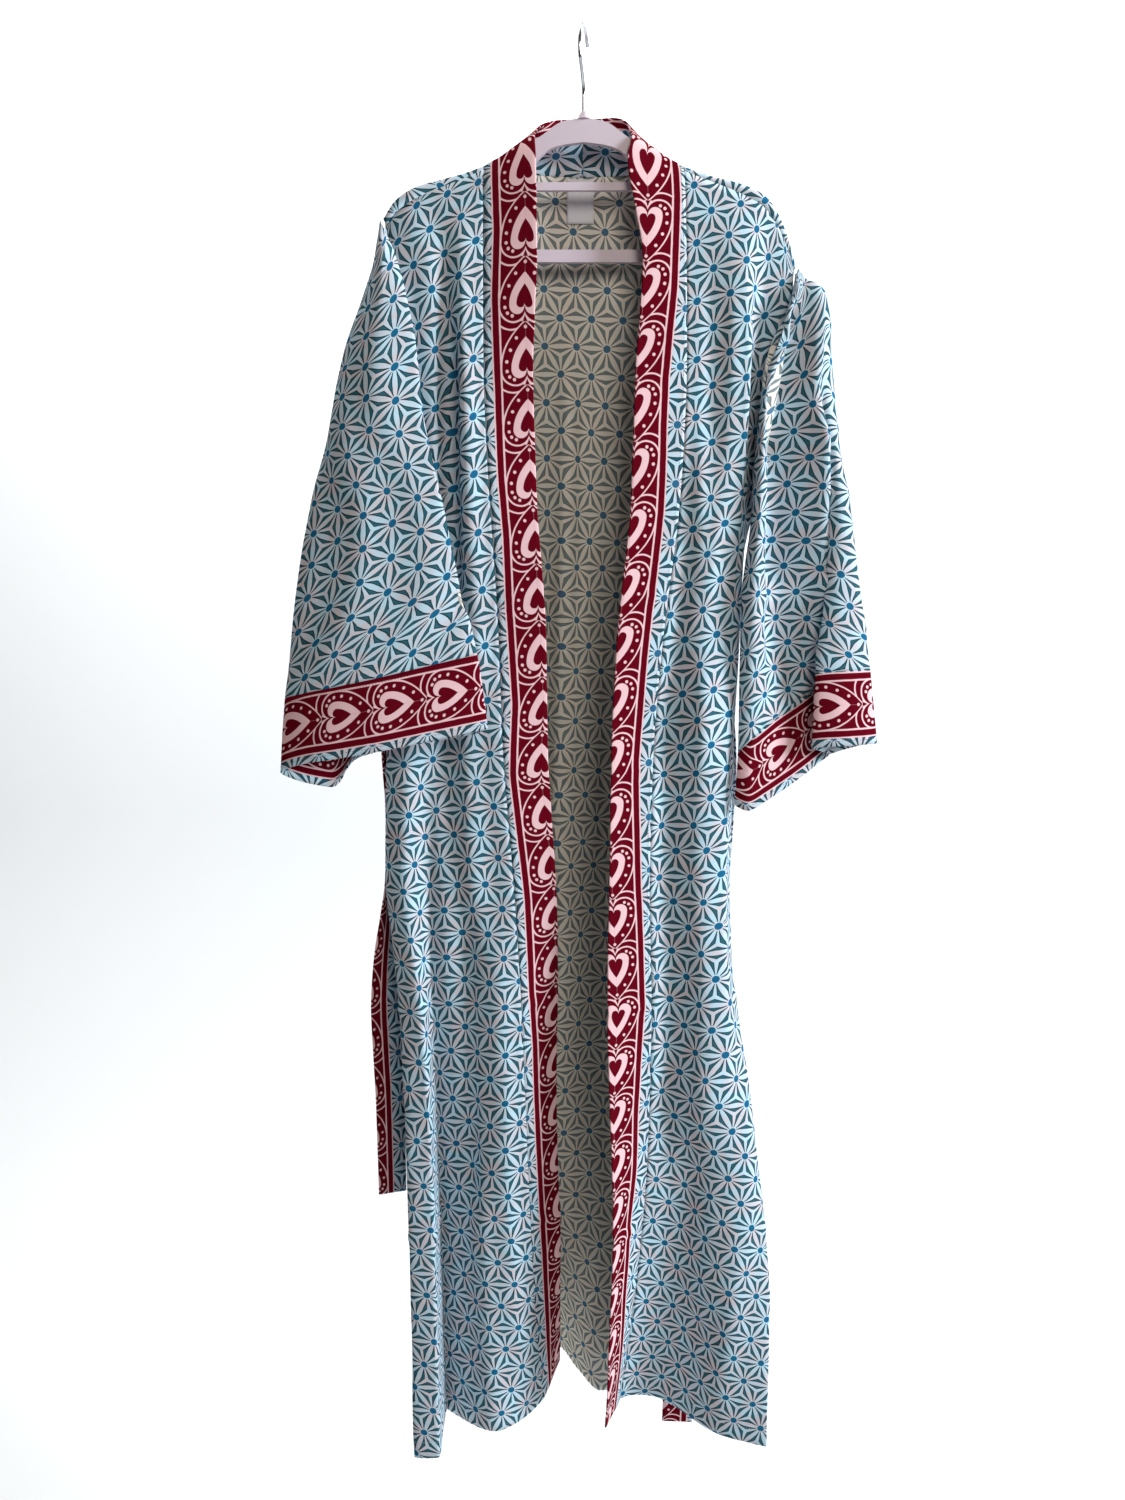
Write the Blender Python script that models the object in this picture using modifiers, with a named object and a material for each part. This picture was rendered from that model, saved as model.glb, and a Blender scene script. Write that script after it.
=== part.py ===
"""An open, full-length kimono robe of printed cotton, hanging on a slim moulded hanger.

The frame has its origin at the inside top of the hook, X to the right as the robe is looked at, Y away
from the front of it and Z up. "right" and "left" in a name are the wearer's, so the right front has
negative X. The tables hold centimetres: x, y and the drop below the origin.
"""

import math

import bmesh
import bpy
import numpy as np

CM = 0.01

# Driving sizes, in centimetres
CLOTH = 0.14
BAND_CLOTH = 0.22
CUFF_CLOTH = 0.18
BELT_CLOTH = 0.2
LABEL_CLOTH = 0.1
LOOP_CLOTH = 0.12
SEAM_GAP = 0.06
NECK_GAP = 0.08
CUFF_GAP = 0.05
BELT_WIDTH = 3.6
LOOP_WIDTH = 0.7
LABEL_SIZE = (2.5, 3.9)
HANGER_THICKNESS = 0.6
WIRE = 0.32
HOOK_RADIUS = 2.2
HOOK_TURN = math.radians(10)

# The sections of the body, each at one drop below the origin, from the band's folded edge to the side seam.
# drop: fold, seam, flat, crease, roll, side, side_seam
FRONT_RIGHT = {
    20: ((-4.3, -2.9), (-9.1, -2.0), (-11.0, -2.3), (-12.8, -1.5), (-14.3, -2.0), (-15.9, -1.7), (-17.5, -0.9)),
    30: ((-4.8, -3.6), (-9.1, -2.8), (-10.8, -3.2), (-12.5, -1.4), (-13.9, -2.1), (-15.3, -1.7), (-16.7, -1.2)),
    42: ((-4.6, -4.0), (-8.6, -3.2), (-10.5, -3.3), (-12.5, -1.6), (-14.0, -2.2), (-15.6, -1.5), (-16.6, -0.1)),
    52: ((-3.9, -4.2), (-8.0, -3.2), (-10.6, -3.0), (-12.9, -1.6), (-14.8, -2.2), (-16.6, -1.2), (-17.0, 1.6)),
    65: ((-3.6, -3.8), (-7.6, -3.2), (-11.0, -3.0), (-14.3, -1.6), (-16.8, -2.6), (-19.0, -1.2), (-18.2, 3.1)),
    78: ((-2.8, -3.4), (-6.7, -3.0), (-10.8, -3.0), (-14.9, -1.4), (-17.4, -3.0), (-19.5, -1.2), (-18.4, 3.0)),
    92: ((-2.2, -1.6), (-6.0, -2.6), (-10.2, -2.8), (-15.1, -0.6), (-16.0, -3.4), (-18.3, -2.2), (-17.6, 2.4)),
    108: ((-2.2, -0.4), (-5.5, -2.0), (-10.0, -2.4), (-14.9, 0.8), (-15.3, -3.4), (-17.8, -3.0), (-17.0, 1.8)),
    125: ((-2.2, 2.4), (-4.9, -0.2), (-9.8, -1.8), (-14.8, 1.6), (-15.1, -3.8), (-17.7, -3.4), (-16.9, 1.8)),
    "hem": (
        (-2.3, 6.4, 137.2),
        (-4.1, 2.6, 139.2),
        (-9.2, -1.0, 140.2),
        (-14.8, 2.4, 140.2),
        (-15.0, -3.9, 141.0),
        (-17.7, -3.5, 141.3),
        (-16.9, 1.8, 141.4),
    ),
}
# drop: fold, seam, flat, ridge, side, side_seam
FRONT_LEFT = {
    20: ((5.4, -2.6), (9.3, -2.0), (11.8, -2.2), (14.5, -2.6, 20.2), (16.7, -0.9, 20.8), (19.2, -0.9, 22.6)),
    30: ((4.8, -3.6), (9.4, -2.8), (12.0, -2.8), (15.0, -3.3), (16.2, -1.0), (18.2, -1.2)),
    42: ((4.5, -4.2), (8.9, -3.2), (11.8, -3.0), (14.5, -3.4), (15.5, -1.0), (16.4, 0.4)),
    52: ((3.5, -4.4), (7.8, -3.2), (11.0, -2.9), (14.0, -3.2), (15.1, -0.7), (14.2, 3.2)),
    65: ((2.9, -4.6), (6.8, -3.2), (10.4, -2.7), (13.8, -3.0), (15.0, -0.2), (12.9, 5.3)),
    78: ((2.8, -4.6), (6.6, -3.0), (10.4, -2.4), (13.7, -2.8), (15.0, 0.0), (13.0, 5.6)),
    92: ((2.7, -4.8), (7.0, -2.6), (10.8, -2.0), (14.4, -2.8), (16.0, -0.4), (14.0, 5.2)),
    108: ((3.3, -5.0), (6.8, -1.8), (11.0, -1.4), (15.4, -2.8), (18.2, -1.0), (16.4, 4.0)),
    125: ((3.1, -4.4), (5.7, -0.2), (10.2, 0.6), (16.0, -2.2), (20.0, -1.4), (18.6, 2.8)),
    "hem": (
        (2.7, -2.4, 138.6),
        (4.4, 2.2, 138.8),
        (8.6, 4.0, 140.0),
        (15.0, -0.2, 141.2),
        (20.2, -1.2, 142.0),
        (19.4, 2.8, 142.0),
    ),
}
# The back hangs behind the fronts. Its own edges follow at each end, and the armholes part it from them above.
# drop: side_right, quarter_right, neck_right, inner_fold, centre, neck_left, quarter_left, side_left
BACK = {
    20: ((-15.8, 1.5), (-12.6, 2.0), (-8.6, 2.4), (-1.4, 2.8), (2.2, 2.4), (8.8, 2.4), (13.0, 2.0), (17.2, 1.4, 21.0)),
    30: ((-15.0, 2.7), (-11.8, 2.5), (-7.6, 3.6), (-1.4, 2.4), (2.4, 3.6), (8.2, 3.0), (12.2, 3.2), (16.2, 2.6)),
    42: ((-16.2, 3.4), (-12.0, 3.2), (-7.2, 4.8), (-1.5, 2.8), (2.4, 4.6), (7.6, 3.8), (12.0, 4.6), (15.4, 3.4)),
    52: ((-17.4, 4.4), (-12.8, 4.2), (-7.0, 5.8), (-1.6, 3.4), (2.4, 5.4), (6.8, 4.6), (10.4, 6.0), (12.9, 5.8)),
    65: ((-18.0, 5.8), (-13.4, 5.6), (-7.2, 6.8), (-1.9, 4.2), (2.6, 6.4), (6.6, 5.4), (9.6, 7.4), (11.8, 7.4)),
    78: ((-18.4, 6.0), (-13.6, 6.2), (-7.4, 7.6), (-2.4, 5.0), (2.6, 7.2), (6.8, 6.2), (10.0, 8.0), (12.6, 7.6)),
    92: ((-18.6, 5.4), (-13.4, 6.8), (-7.4, 8.6), (-2.6, 5.8), (2.8, 8.0), (7.2, 6.8), (11.0, 8.6), (14.6, 7.6)),
    108: ((-18.4, 5.6), (-13.4, 7.6), (-7.4, 9.6), (-2.6, 7.2), (2.8, 8.2), (7.6, 7.4), (12.2, 9.4), (17.2, 6.8)),
    125: ((-18.4, 5.8), (-13.4, 8.4), (-7.4, 11.0), (-2.5, 9.6), (2.4, 6.8), (8.0, 8.2), (13.4, 10.0), (19.2, 6.8)),
    "hem": (
        (-18.4, 5.8, 141.4),
        (-13.4, 8.8, 141.2),
        (-7.4, 12.4, 140.6),
        (-2.4, 11.8, 139.4),
        (2.2, 5.8, 140.6),
        (8.0, 9.0, 141.0),
        (13.8, 10.4, 141.4),
        (19.6, 6.8, 141.8),
    ),
}
# The back's edges at the armholes, at the first two sections: x, y, drop on the right and on the left
BACK_ARMHOLE = (((-17.5, 1.0, 20.0), (19.2, 0.9, 22.6)), ((-16.8, 2.0, 30.0), (18.2, 1.7, 30.0)))

# The shoulders: the ridge over the hanger and the seam just in front of it, from the neck to the tip
# place: ridge_x, ridge_drop, seam_x, seam_y, seam_drop
SHOULDER_RIGHT = {
    "neck": (-8.90, 11.55, -9.00, -0.66, 12.05),
    "inner": (-11.0, 12.25, -11.3, -0.66, 12.95),
    "middle": (-13.2, 12.80, -13.4, -0.70, 13.75),
    "outer": (-15.4, 13.42, -15.5, -0.70, 14.65),
    "end": (-17.2, 14.60, -17.0, -0.66, 15.65),
    "tip": (-18.25, 16.10, -18.0, -0.55, 16.75),
}
SHOULDER_LEFT = {
    "neck": (8.90, 11.60, 9.05, -0.66, 12.15),
    "inner": (11.6, 12.45, 11.7, -0.66, 13.10),
    "middle": (14.4, 13.12, 14.3, -0.70, 14.10),
    "outer": (16.6, 14.20, 16.4, -0.70, 15.25),
    "end": (18.4, 17.00, 18.2, -0.66, 17.80),
    "tip": (19.5, 20.30, 19.3, -0.55, 20.70),
}
RIDGE_HALF = 0.5
RIDGE_FALL = 0.13

# The band from the centre back round the neck: fold x, y, drop and seam x, y, drop.
# Over the shoulder its seam takes the shoulder's own corner.
NECK_RIGHT = {
    "centre": ((0.0, 3.5, 6.6), (0.0, 2.7, 11.8)),
    "nape": ((-2.4, 3.0, 6.8), (-3.8, 2.3, 11.75)),
    "side": ((-3.9, 1.7, 7.6), (-7.2, 1.5, 11.6)),
    "behind": (-4.4, 0.6, 8.5),
    "over": (-4.5, -0.5, 9.2),
    "front": (-4.4, -1.4, 11.0),
}
NECK_LEFT = {
    "centre": ((0.0, 3.5, 6.6), (0.0, 2.7, 11.8)),
    "nape": ((2.6, 3.0, 6.6), (3.8, 2.3, 11.75)),
    "side": ((3.9, 1.7, 7.3), (7.2, 1.5, 11.65)),
    "behind": (4.3, 0.6, 8.4),
    "over": (4.4, -0.5, 9.2),
    "front": (4.0, -1.4, 11.2),
}
NECK_KNOTS = (0.0, 3.8, 7.6, 9.4, 10.6, 12.6)
NECK_STEPS = (2, 2, 2, 2, 1)

# The sleeves hang nearly flat. Their first and last places are the armhole seam, and the underarm seam below it.
# drop: front_seam, under, inner_edge, front, outer_edge, back_low, back, back_seam
SLEEVE_RIGHT = {
    "top": (
        (-18.1, -0.90, 17.2),
        (-18.25, -0.95, 17.0),
        (-18.4, -0.86, 16.7),
        (-18.52, -0.55, 16.4),
        (-18.6, 0.0, 16.25),
        (-18.52, 0.55, 16.45),
        (-18.45, 0.78, 16.8),
        (-18.4, 0.84, 17.2),
    ),
    20: (
        (-17.8, -1.2),
        (-17.7, -1.9),
        (-16.9, -2.5),
        (-18.0, -3.2),
        (-19.2, -0.7),
        (-18.9, 0.8),
        (-18.4, 1.3),
        (-17.8, 1.1),
    ),
    27: (
        (-17.1, -1.6),
        (-16.8, -2.8),
        (-15.2, -4.1),
        (-18.2, -4.6),
        (-21.6, -1.8),
        (-20.2, 0.8),
        (-18.6, 1.9),
        (-17.2, 1.9),
    ),
    34: (
        (-16.8, -1.7),
        (-16.4, -3.4),
        (-14.4, -5.0),
        (-18.6, -5.4),
        (-23.5, -2.4),
        (-21.2, 0.6),
        (-18.8, 2.2),
        (-17.0, 2.2),
    ),
    42: (
        (-16.9, -0.4),
        (-16.5, -3.0),
        (-12.8, -5.8),
        (-18.9, -5.8),
        (-25.3, -3.0),
        (-22.6, 0.0),
        (-19.6, 1.3),
        (-17.0, 0.2),
    ),
    49: (
        (-16.4, -3.0),
        (-15.4, -4.4),
        (-11.3, -5.9),
        (-19.0, -6.4),
        (-26.6, -3.8),
        (-23.2, -1.6),
        (-19.6, -1.5),
        (-16.5, -2.9),
    ),
    "cuff": (
        (-11.2, -4.5, 56.2),
        (-10.7, -5.4, 55.8),
        (-9.8, -6.4, 55.4),
        (-18.8, -7.3, 57.5),
        (-27.9, -5.0, 59.7),
        (-23.6, -3.6, 60.0),
        (-19.0, -4.2, 58.4),
        (-11.3, -4.4, 56.3),
    ),
    "hem": (
        (-10.0, -4.9, 63.0),
        (-9.5, -5.7, 62.7),
        (-8.9, -6.5, 62.3),
        (-18.4, -7.6, 64.2),
        (-28.5, -5.4, 66.7),
        (-24.0, -3.8, 68.4),
        (-21.6, -4.4, 65.6),
        (-10.1, -4.8, 63.1),
    ),
}
# drop: front_seam, under, roll_inner, roll_front, roll_outer, valley, panel, deep, turn, flap_edge, flap,
# outer_edge, back_outer, back, back_seam
SLEEVE_LEFT = {
    "top": (
        (19.4, -0.90, 21.1),
        (19.5, -0.92, 21.0),
        (19.57, -0.90, 20.9),
        (19.63, -0.86, 20.82),
        (19.68, -0.80, 20.74),
        (19.72, -0.70, 20.66),
        (19.76, -0.58, 20.58),
        (19.79, -0.44, 20.52),
        (19.81, -0.30, 20.47),
        (19.83, -0.15, 20.44),
        (19.84, 0.0, 20.42),
        (19.83, 0.25, 20.46),
        (19.8, 0.55, 20.6),
        (19.76, 0.76, 20.9),
        (19.7, 0.84, 21.2),
    ),
    24: (
        (19.2, -1.1),
        (19.0, -1.7),
        (18.7, -2.1),
        (18.8, -2.6),
        (19.1, -2.75),
        (19.5, -2.7),
        (20.0, -2.5),
        (20.4, -2.3),
        (20.75, -2.1),
        (21.1, -1.8),
        (21.6, -1.3),
        (22.1, -0.4),
        (21.4, 0.6),
        (20.3, 1.2),
        (19.3, 1.3),
    ),
    31: (
        (18.2, -1.5),
        (17.8, -2.3),
        (16.4, -2.8),
        (16.8, -3.7),
        (17.4, -3.1),
        (18.0, -2.3),
        (20.0, -2.0),
        (21.5, -1.85),
        (21.9, -1.9),
        (22.2, -1.95),
        (22.7, -1.7),
        (23.3, -0.8),
        (21.7, 0.7),
        (20.0, 1.5),
        (18.4, 1.8),
    ),
    38: (
        (17.1, -0.9),
        (16.8, -2.1),
        (15.8, -3.0),
        (16.3, -4.2),
        (17.2, -3.5),
        (17.7, -2.3),
        (20.4, -2.0),
        (22.8, -1.5),
        (23.4, -1.9),
        (22.9, -2.6),
        (23.4, -3.0),
        (24.1, -1.8),
        (22.2, 0.4),
        (19.8, 1.2),
        (17.3, 1.2),
    ),
    44: (
        (16.9, -0.6),
        (16.4, -2.1),
        (15.5, -3.2),
        (16.1, -4.6),
        (17.2, -3.7),
        (17.7, -2.4),
        (20.6, -2.0),
        (23.0, -1.3),
        (23.7, -1.9),
        (22.9, -3.0),
        (23.8, -3.5),
        (25.0, -2.4),
        (22.4, 0.0),
        (19.6, 0.6),
        (17.0, -0.4),
    ),
    51: (
        (16.2, -1.8),
        (15.7, -2.7),
        (14.8, -3.6),
        (15.8, -4.8),
        (17.0, -4.0),
        (17.7, -2.6),
        (20.4, -2.2),
        (22.8, -1.2),
        (23.6, -1.8),
        (22.6, -3.4),
        (24.0, -4.0),
        (26.0, -2.9),
        (22.6, -0.2),
        (19.4, 0.0),
        (16.3, -1.6),
    ),
    "cuff": (
        (15.4, -2.3, 64.2),
        (15.1, -2.9, 64.6),
        (14.9, -3.5, 65.0),
        (16.0, -4.0, 63.8),
        (17.2, -3.6, 62.6),
        (18.4, -3.0, 61.8),
        (20.6, -2.4, 60.2),
        (22.7, -1.3, 59.0),
        (23.5, -1.9, 58.2),
        (22.0, -3.8, 57.4),
        (24.2, -4.3, 57.2),
        (27.2, -3.2, 57.0),
        (23.0, -0.2, 58.8),
        (19.4, -0.8, 61.2),
        (15.5, -2.1, 64.0),
    ),
    "hem": (
        (15.6, -2.2, 70.2),
        (15.1, -2.7, 70.1),
        (14.7, -3.3, 70.2),
        (15.9, -3.9, 70.7),
        (17.4, -3.5, 70.0),
        (19.0, -3.0, 69.1),
        (21.2, -2.4, 67.7),
        (23.2, -1.4, 66.4),
        (23.9, -2.0, 65.6),
        (21.8, -4.0, 64.6),
        (24.4, -4.6, 64.3),
        (28.2, -3.2, 64.2),
        (23.6, -0.2, 66.2),
        (19.6, -0.8, 68.6),
        (15.7, -2.0, 70.0),
    ),
}
UNDERARM = 42.0
# How far the sleeve's seam stands from the body's: outwards, and towards the front or the back
ARMHOLE_FRONT = (0.06, -0.27)
ARMHOLE_BACK = (0.16, 0.06)

# The hanging ends of the belt, from the tip up to the turn into its loop.
# place: x, y, drop, and the way from its middle to the edge that is lower along the back
BELT_RIGHT_END = {
    "tip": ((-20.1, 2.0, 113.9), (0.7, 0.67, 0.25)),
    "low": ((-20.1, 2.0, 103.0), (0.72, 0.69, 0.0)),
    "kink": ((-20.3, 1.9, 93.0), (0.74, 0.67, 0.0)),
    "middle": ((-20.0, 2.2, 86.5), (0.6, 0.8, 0.0)),
    "upper": ((-19.6, 2.2, 79.0), (0.1, 0.99, 0.0)),
    "high": ((-19.4, 1.2, 70.5), (0.0, 1.0, 0.0)),
}
BELT_LEFT_END = {
    "tip": ((11.9, 12.4, 149.9), (-1.0, 0.05, 0.0)),
    "low": ((12.0, 11.5, 140.0), (-1.0, 0.05, 0.0)),
    "middle": ((12.4, 10.9, 125.0), (-1.0, 0.05, 0.0)),
    "upper": ((13.1, 10.2, 108.0), (-1.0, 0.08, 0.0)),
    "high": ((13.6, 9.2, 93.0), (-0.96, 0.28, 0.0)),
    "side": ((14.3, 7.0, 80.0), (-0.76, 0.65, 0.0)),
    "turn": ((14.7, 4.3, 70.5), (-0.5, 0.87, 0.0)),
}
BELT_MIDDLE = 62.0
BELT_CLEAR = 0.12
TURN_RADIUS = 2.1
TURN_AHEAD = 0.5
RIGHT_FORWARD = (-0.3, -0.95)
LEFT_FORWARD = (0.42, -0.91)
# A loop's line: how far it stands off the seam and its drop
LOOP_LINE = ((0.28, 59.2), (0.34, 59.6), (0.66, 60.0), (0.68, 62.0), (0.66, 64.0), (0.34, 64.4), (0.28, 64.8))
# How much nearer the whole loop stands than that, which lets it meet the seam
LOOP_NEARER = {"right": 0.0, "left": 0.09}
LABEL_MIDDLE = -0.25
LABEL_DROP = 12.0
LABEL_OFF = 0.2

# The hanger's outer edge and its two windows, one half of each from the middle outwards: x, drop
HANGER_EDGE = (
    (0.0, 7.5),
    (2.0, 7.9),
    (3.9, 9.1),
    (6.5, 10.5),
    (8.6, 11.85),
    (12.2, 12.9),
    (15.4, 13.72),
    (16.9, 14.85),
    (17.6, 15.85),
    (17.9, 17.1),
    (17.4, 18.6),
    (15.9, 19.9),
)
UPPER_WINDOW = ((0.0, 9.6), (1.7, 9.8), (3.1, 10.2), (4.3, 11.2), (5.6, 12.2), (7.1, 13.0))
LOWER_WINDOW = ((9.6, 13.7), (12.5, 14.3), (15.0, 15.0), (16.1, 16.0), (16.3, 17.3), (15.2, 18.8))
# The hook from the hanger up: distance along its own plane and drop
HOOK_LINE = ((0.0, 7.47), (0.0, 5.6), (-0.5, 4.6), (-1.6, 3.6))
HOOK_TURNS = (205, 180, 155, 130, 105, 80, 55, 35)

COLOURS = {
    "cloth": (0.62, 0.76, 0.74, 0.85, 0.0),
    "band": (0.42, 0.03, 0.07, 0.8, 0.0),
    "label": (0.86, 0.85, 0.83, 0.7, 0.0),
    "moulding": (0.86, 0.78, 0.77, 0.45, 0.0),
    "wire": (0.75, 0.75, 0.76, 0.25, 1.0),
}

# Knots of the rows down the body, which are near their drops, and how many rows fill each step
BODY_KNOTS = (20.0, 30.0, 42.0, 52.0, 65.0, 78.0, 92.0, 108.0, 125.0, 141.0)
OVER_KNOTS = (10.1, 10.8, 11.4, 12.0, 13.0)
BODY_ROWS = 2


def eased(at, knots, values):
    """Smooth curves through rows of values at the knots, which never pass beyond the values."""
    values = np.asarray(values, float)
    gap = np.diff(knots)
    slope = np.diff(values, axis=0) / gap[:, None]
    tangent = np.zeros_like(values)
    tangent[0], tangent[-1] = slope[0], slope[-1]
    before, after = slope[:-1], slope[1:]
    near = (2 * gap[1:] + gap[:-1])[:, None]
    far = (gap[1:] + 2 * gap[:-1])[:, None]
    turns = before * after <= 0
    safe = np.where(turns, 1.0, before * after)
    tangent[1:-1] = np.where(turns, 0.0, (near + far) * safe / (near * after + far * before + turns))
    i = np.clip(np.searchsorted(knots, at, side="right") - 1, 0, len(gap) - 1)
    t = ((at - knots[i]) / gap[i])[:, None]
    step = gap[i][:, None]
    return (
        values[i] * (1 + 2 * t) * (1 - t) ** 2
        + tangent[i] * step * t * (1 - t) ** 2
        + values[i + 1] * t**2 * (3 - 2 * t)
        + tangent[i + 1] * step * t**2 * (t - 1)
    )


def spacing(sections):
    """A knot for each place along the sections, from the mean distance between neighbours."""
    apart = np.linalg.norm(np.diff(np.asarray(sections, float), axis=1), axis=2).mean(axis=0)
    return np.concatenate([[0], np.cumsum(apart)])


def fine(knots, each):
    """Places from the first knot to the last, with each interval cut into that many steps."""
    if isinstance(each, int):
        each = [each] * (len(knots) - 1)
    steps = [np.linspace(a, b, n, endpoint=False) for a, b, n in zip(knots[:-1], knots[1:], each)]
    return np.concatenate([*steps, knots[-1:]])


def across(sections, knots, places):
    """Each section read at the same places along it."""
    return np.array([eased(places, knots, s) for s in sections])


def down(sections, knots, rows):
    """The sections, which stand at the knots, joined by smooth lines and read at the rows."""
    count, wide, _ = sections.shape
    return eased(rows, np.asarray(knots, float), sections.reshape(count, wide * 3)).reshape(-1, wide, 3)


def with_drop(table):
    """The table's sections as points x, y, drop."""
    return np.array([[p if len(p) == 3 else (*p, drop) for p in row] for drop, row in table.items()], float)


def drawn_in(grid, edge, beside, by):
    """Draws the edge points of a grid towards their neighbours by a distance."""
    way = grid[beside] - grid[edge]
    grid[edge] += way / np.linalg.norm(way, axis=-1)[..., None] * by


def collection(name):
    made = bpy.data.collections.new(name)
    bpy.context.scene.collection.children.link(made)
    return made


def material(name, key):
    red, green, blue, rough, metal = COLOURS[key]
    made = bpy.data.materials.new(name)
    made.use_nodes = True
    shader = made.node_tree.nodes["Principled BSDF"]
    shader.inputs["Base Color"].default_value = (red, green, blue, 1)
    shader.inputs["Roughness"].default_value = rough
    shader.inputs["Metallic"].default_value = metal
    made.diffuse_color = (red, green, blue, 1)
    return made


def add(name, data, colour, parts):
    made = bpy.data.objects.new(name, data)
    data.materials.append(material(name, colour))
    parts.objects.link(made)
    return made


def cloth(name, grid, thickness, colour, parts, kept=None):
    """A wall of cloth round an open grid of points, made by giving the surface a thickness."""
    rows, wide, _ = grid.shape
    kept = np.ones((rows, wide), bool) if kept is None else kept
    mesh = bmesh.new()
    corners = {}
    for r in range(rows):
        for c in range(wide):
            if kept[r, c]:
                x, y, drop = grid[r, c]
                corners[r, c] = mesh.verts.new((x * CM, y * CM, -drop * CM))
    for r in range(rows - 1):
        for c in range(wide - 1):
            loop = [(r, c), (r, c + 1), (r + 1, c + 1), (r + 1, c)]
            if all(place in corners for place in loop):
                mesh.faces.new([corners[place] for place in loop])
    data = bpy.data.meshes.new(name)
    mesh.to_mesh(data)
    mesh.free()
    data.shade_smooth()
    made = add(name, data, colour, parts)
    wall = made.modifiers.new("Wall", "SOLIDIFY")
    wall.thickness = thickness * CM
    wall.offset = 0
    return made


def shoulder(table, share):
    """The lines over one shoulder, at shares of the way from the neck to the tip."""
    rows = np.array(list(table.values()))
    knots = np.concatenate([[0], np.cumsum(np.hypot(*np.diff(rows[:, :2], axis=0).T))])
    ridge_x, ridge, seam_x, seam_y, seam = eased(share * knots[-1], knots, rows).T
    none = np.zeros(len(share))
    return np.stack(
        [
            np.stack([seam_x, seam_y, seam], axis=1),
            np.stack([ridge_x, none - RIDGE_HALF, ridge + RIDGE_FALL], axis=1),
            np.stack([ridge_x, none, ridge], axis=1),
            np.stack([ridge_x, none + RIDGE_HALF, ridge + RIDGE_FALL], axis=1),
            np.stack([ridge_x, none + RIDGE_HALF + 0.14, ridge + 1.0], axis=1),
        ]
    )


def neckline(neck, shoulders):
    """The band's fold and seam from the centre back to the front of the shoulder, as rows of two points."""
    ridge_x, ridge, seam_x, seam_y, seam = shoulders["neck"]
    rows = [neck["centre"], neck["nape"], neck["side"]]
    rows.append((neck["behind"], (ridge_x, RIDGE_HALF, ridge + RIDGE_FALL)))
    rows.append((neck["over"], (ridge_x, -RIDGE_HALF, ridge + RIDGE_FALL)))
    rows.append((neck["front"], (seam_x, seam_y, seam)))
    return np.array(rows, float)


class Side:
    """One side of the robe: its front's grid and the rows of its band."""

    def __init__(self, front, shoulders, neck, beyond, each):
        self.shoulders = shoulders
        onward = np.concatenate([front, beyond[:, None]], axis=1)
        knots = spacing(onward)
        places = fine(knots[1:-1], each)
        self.share = (places - places[0]) / (places[-1] - places[0])
        over = shoulder(shoulders, self.share)
        sections = np.concatenate([over[[1, 0]], across(onward, knots, places)])
        rows = np.concatenate([fine(np.array([12.6, 20.0]), 2)[:-1], fine(np.array(BODY_KNOTS), BODY_ROWS)])
        self.grid = down(sections, (11.4, 12.6, *BODY_KNOTS), rows)
        neck_rows = neckline(neck, shoulders)
        strip = np.concatenate([neck_rows, front[:, :2]])
        band_rows = np.concatenate([fine(np.array(NECK_KNOTS), NECK_STEPS)[:-1], rows])
        lines = down(strip, (*NECK_KNOTS, *BODY_KNOTS), band_rows)
        lines[-len(rows) :, 1] = self.grid[:, 0]
        self.neck_count = len(band_rows) - len(rows)
        self.lines = lines

    def neck_points(self):
        """The seam of the band round the neck, from the shoulder's front to the centre back."""
        return self.lines[self.neck_count :: -1, 1]


def make_fronts(sides, parts):
    for name, side in sides.items():
        grid = side.grid.copy()
        drawn_in(grid, np.s_[:, 0], np.s_[:, 1], SEAM_GAP / 2)
        drawn_in(grid, np.s_[:, -1], np.s_[:, -2], SEAM_GAP / 2)
        drawn_in(grid, np.s_[0, :], np.s_[1, :], SEAM_GAP / 2)
        cloth(f"front_{name}", grid, CLOTH, "cloth", parts)


def make_bands(sides, parts):
    for name, side in sides.items():
        fold, seam = side.lines[:, :1], side.lines[:, 1:]
        share = np.linspace(0, 1, 4)[None, :, None]
        grid = fold * (1 - share) + seam * share
        drawn_in(grid, np.s_[:, -1], np.s_[:, -2], SEAM_GAP / 2)
        drawn_in(grid, np.s_[0, :], np.s_[1, :], SEAM_GAP / 2)
        cloth(f"band_{name}", grid, BAND_CLOTH, "band", parts)


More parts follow.
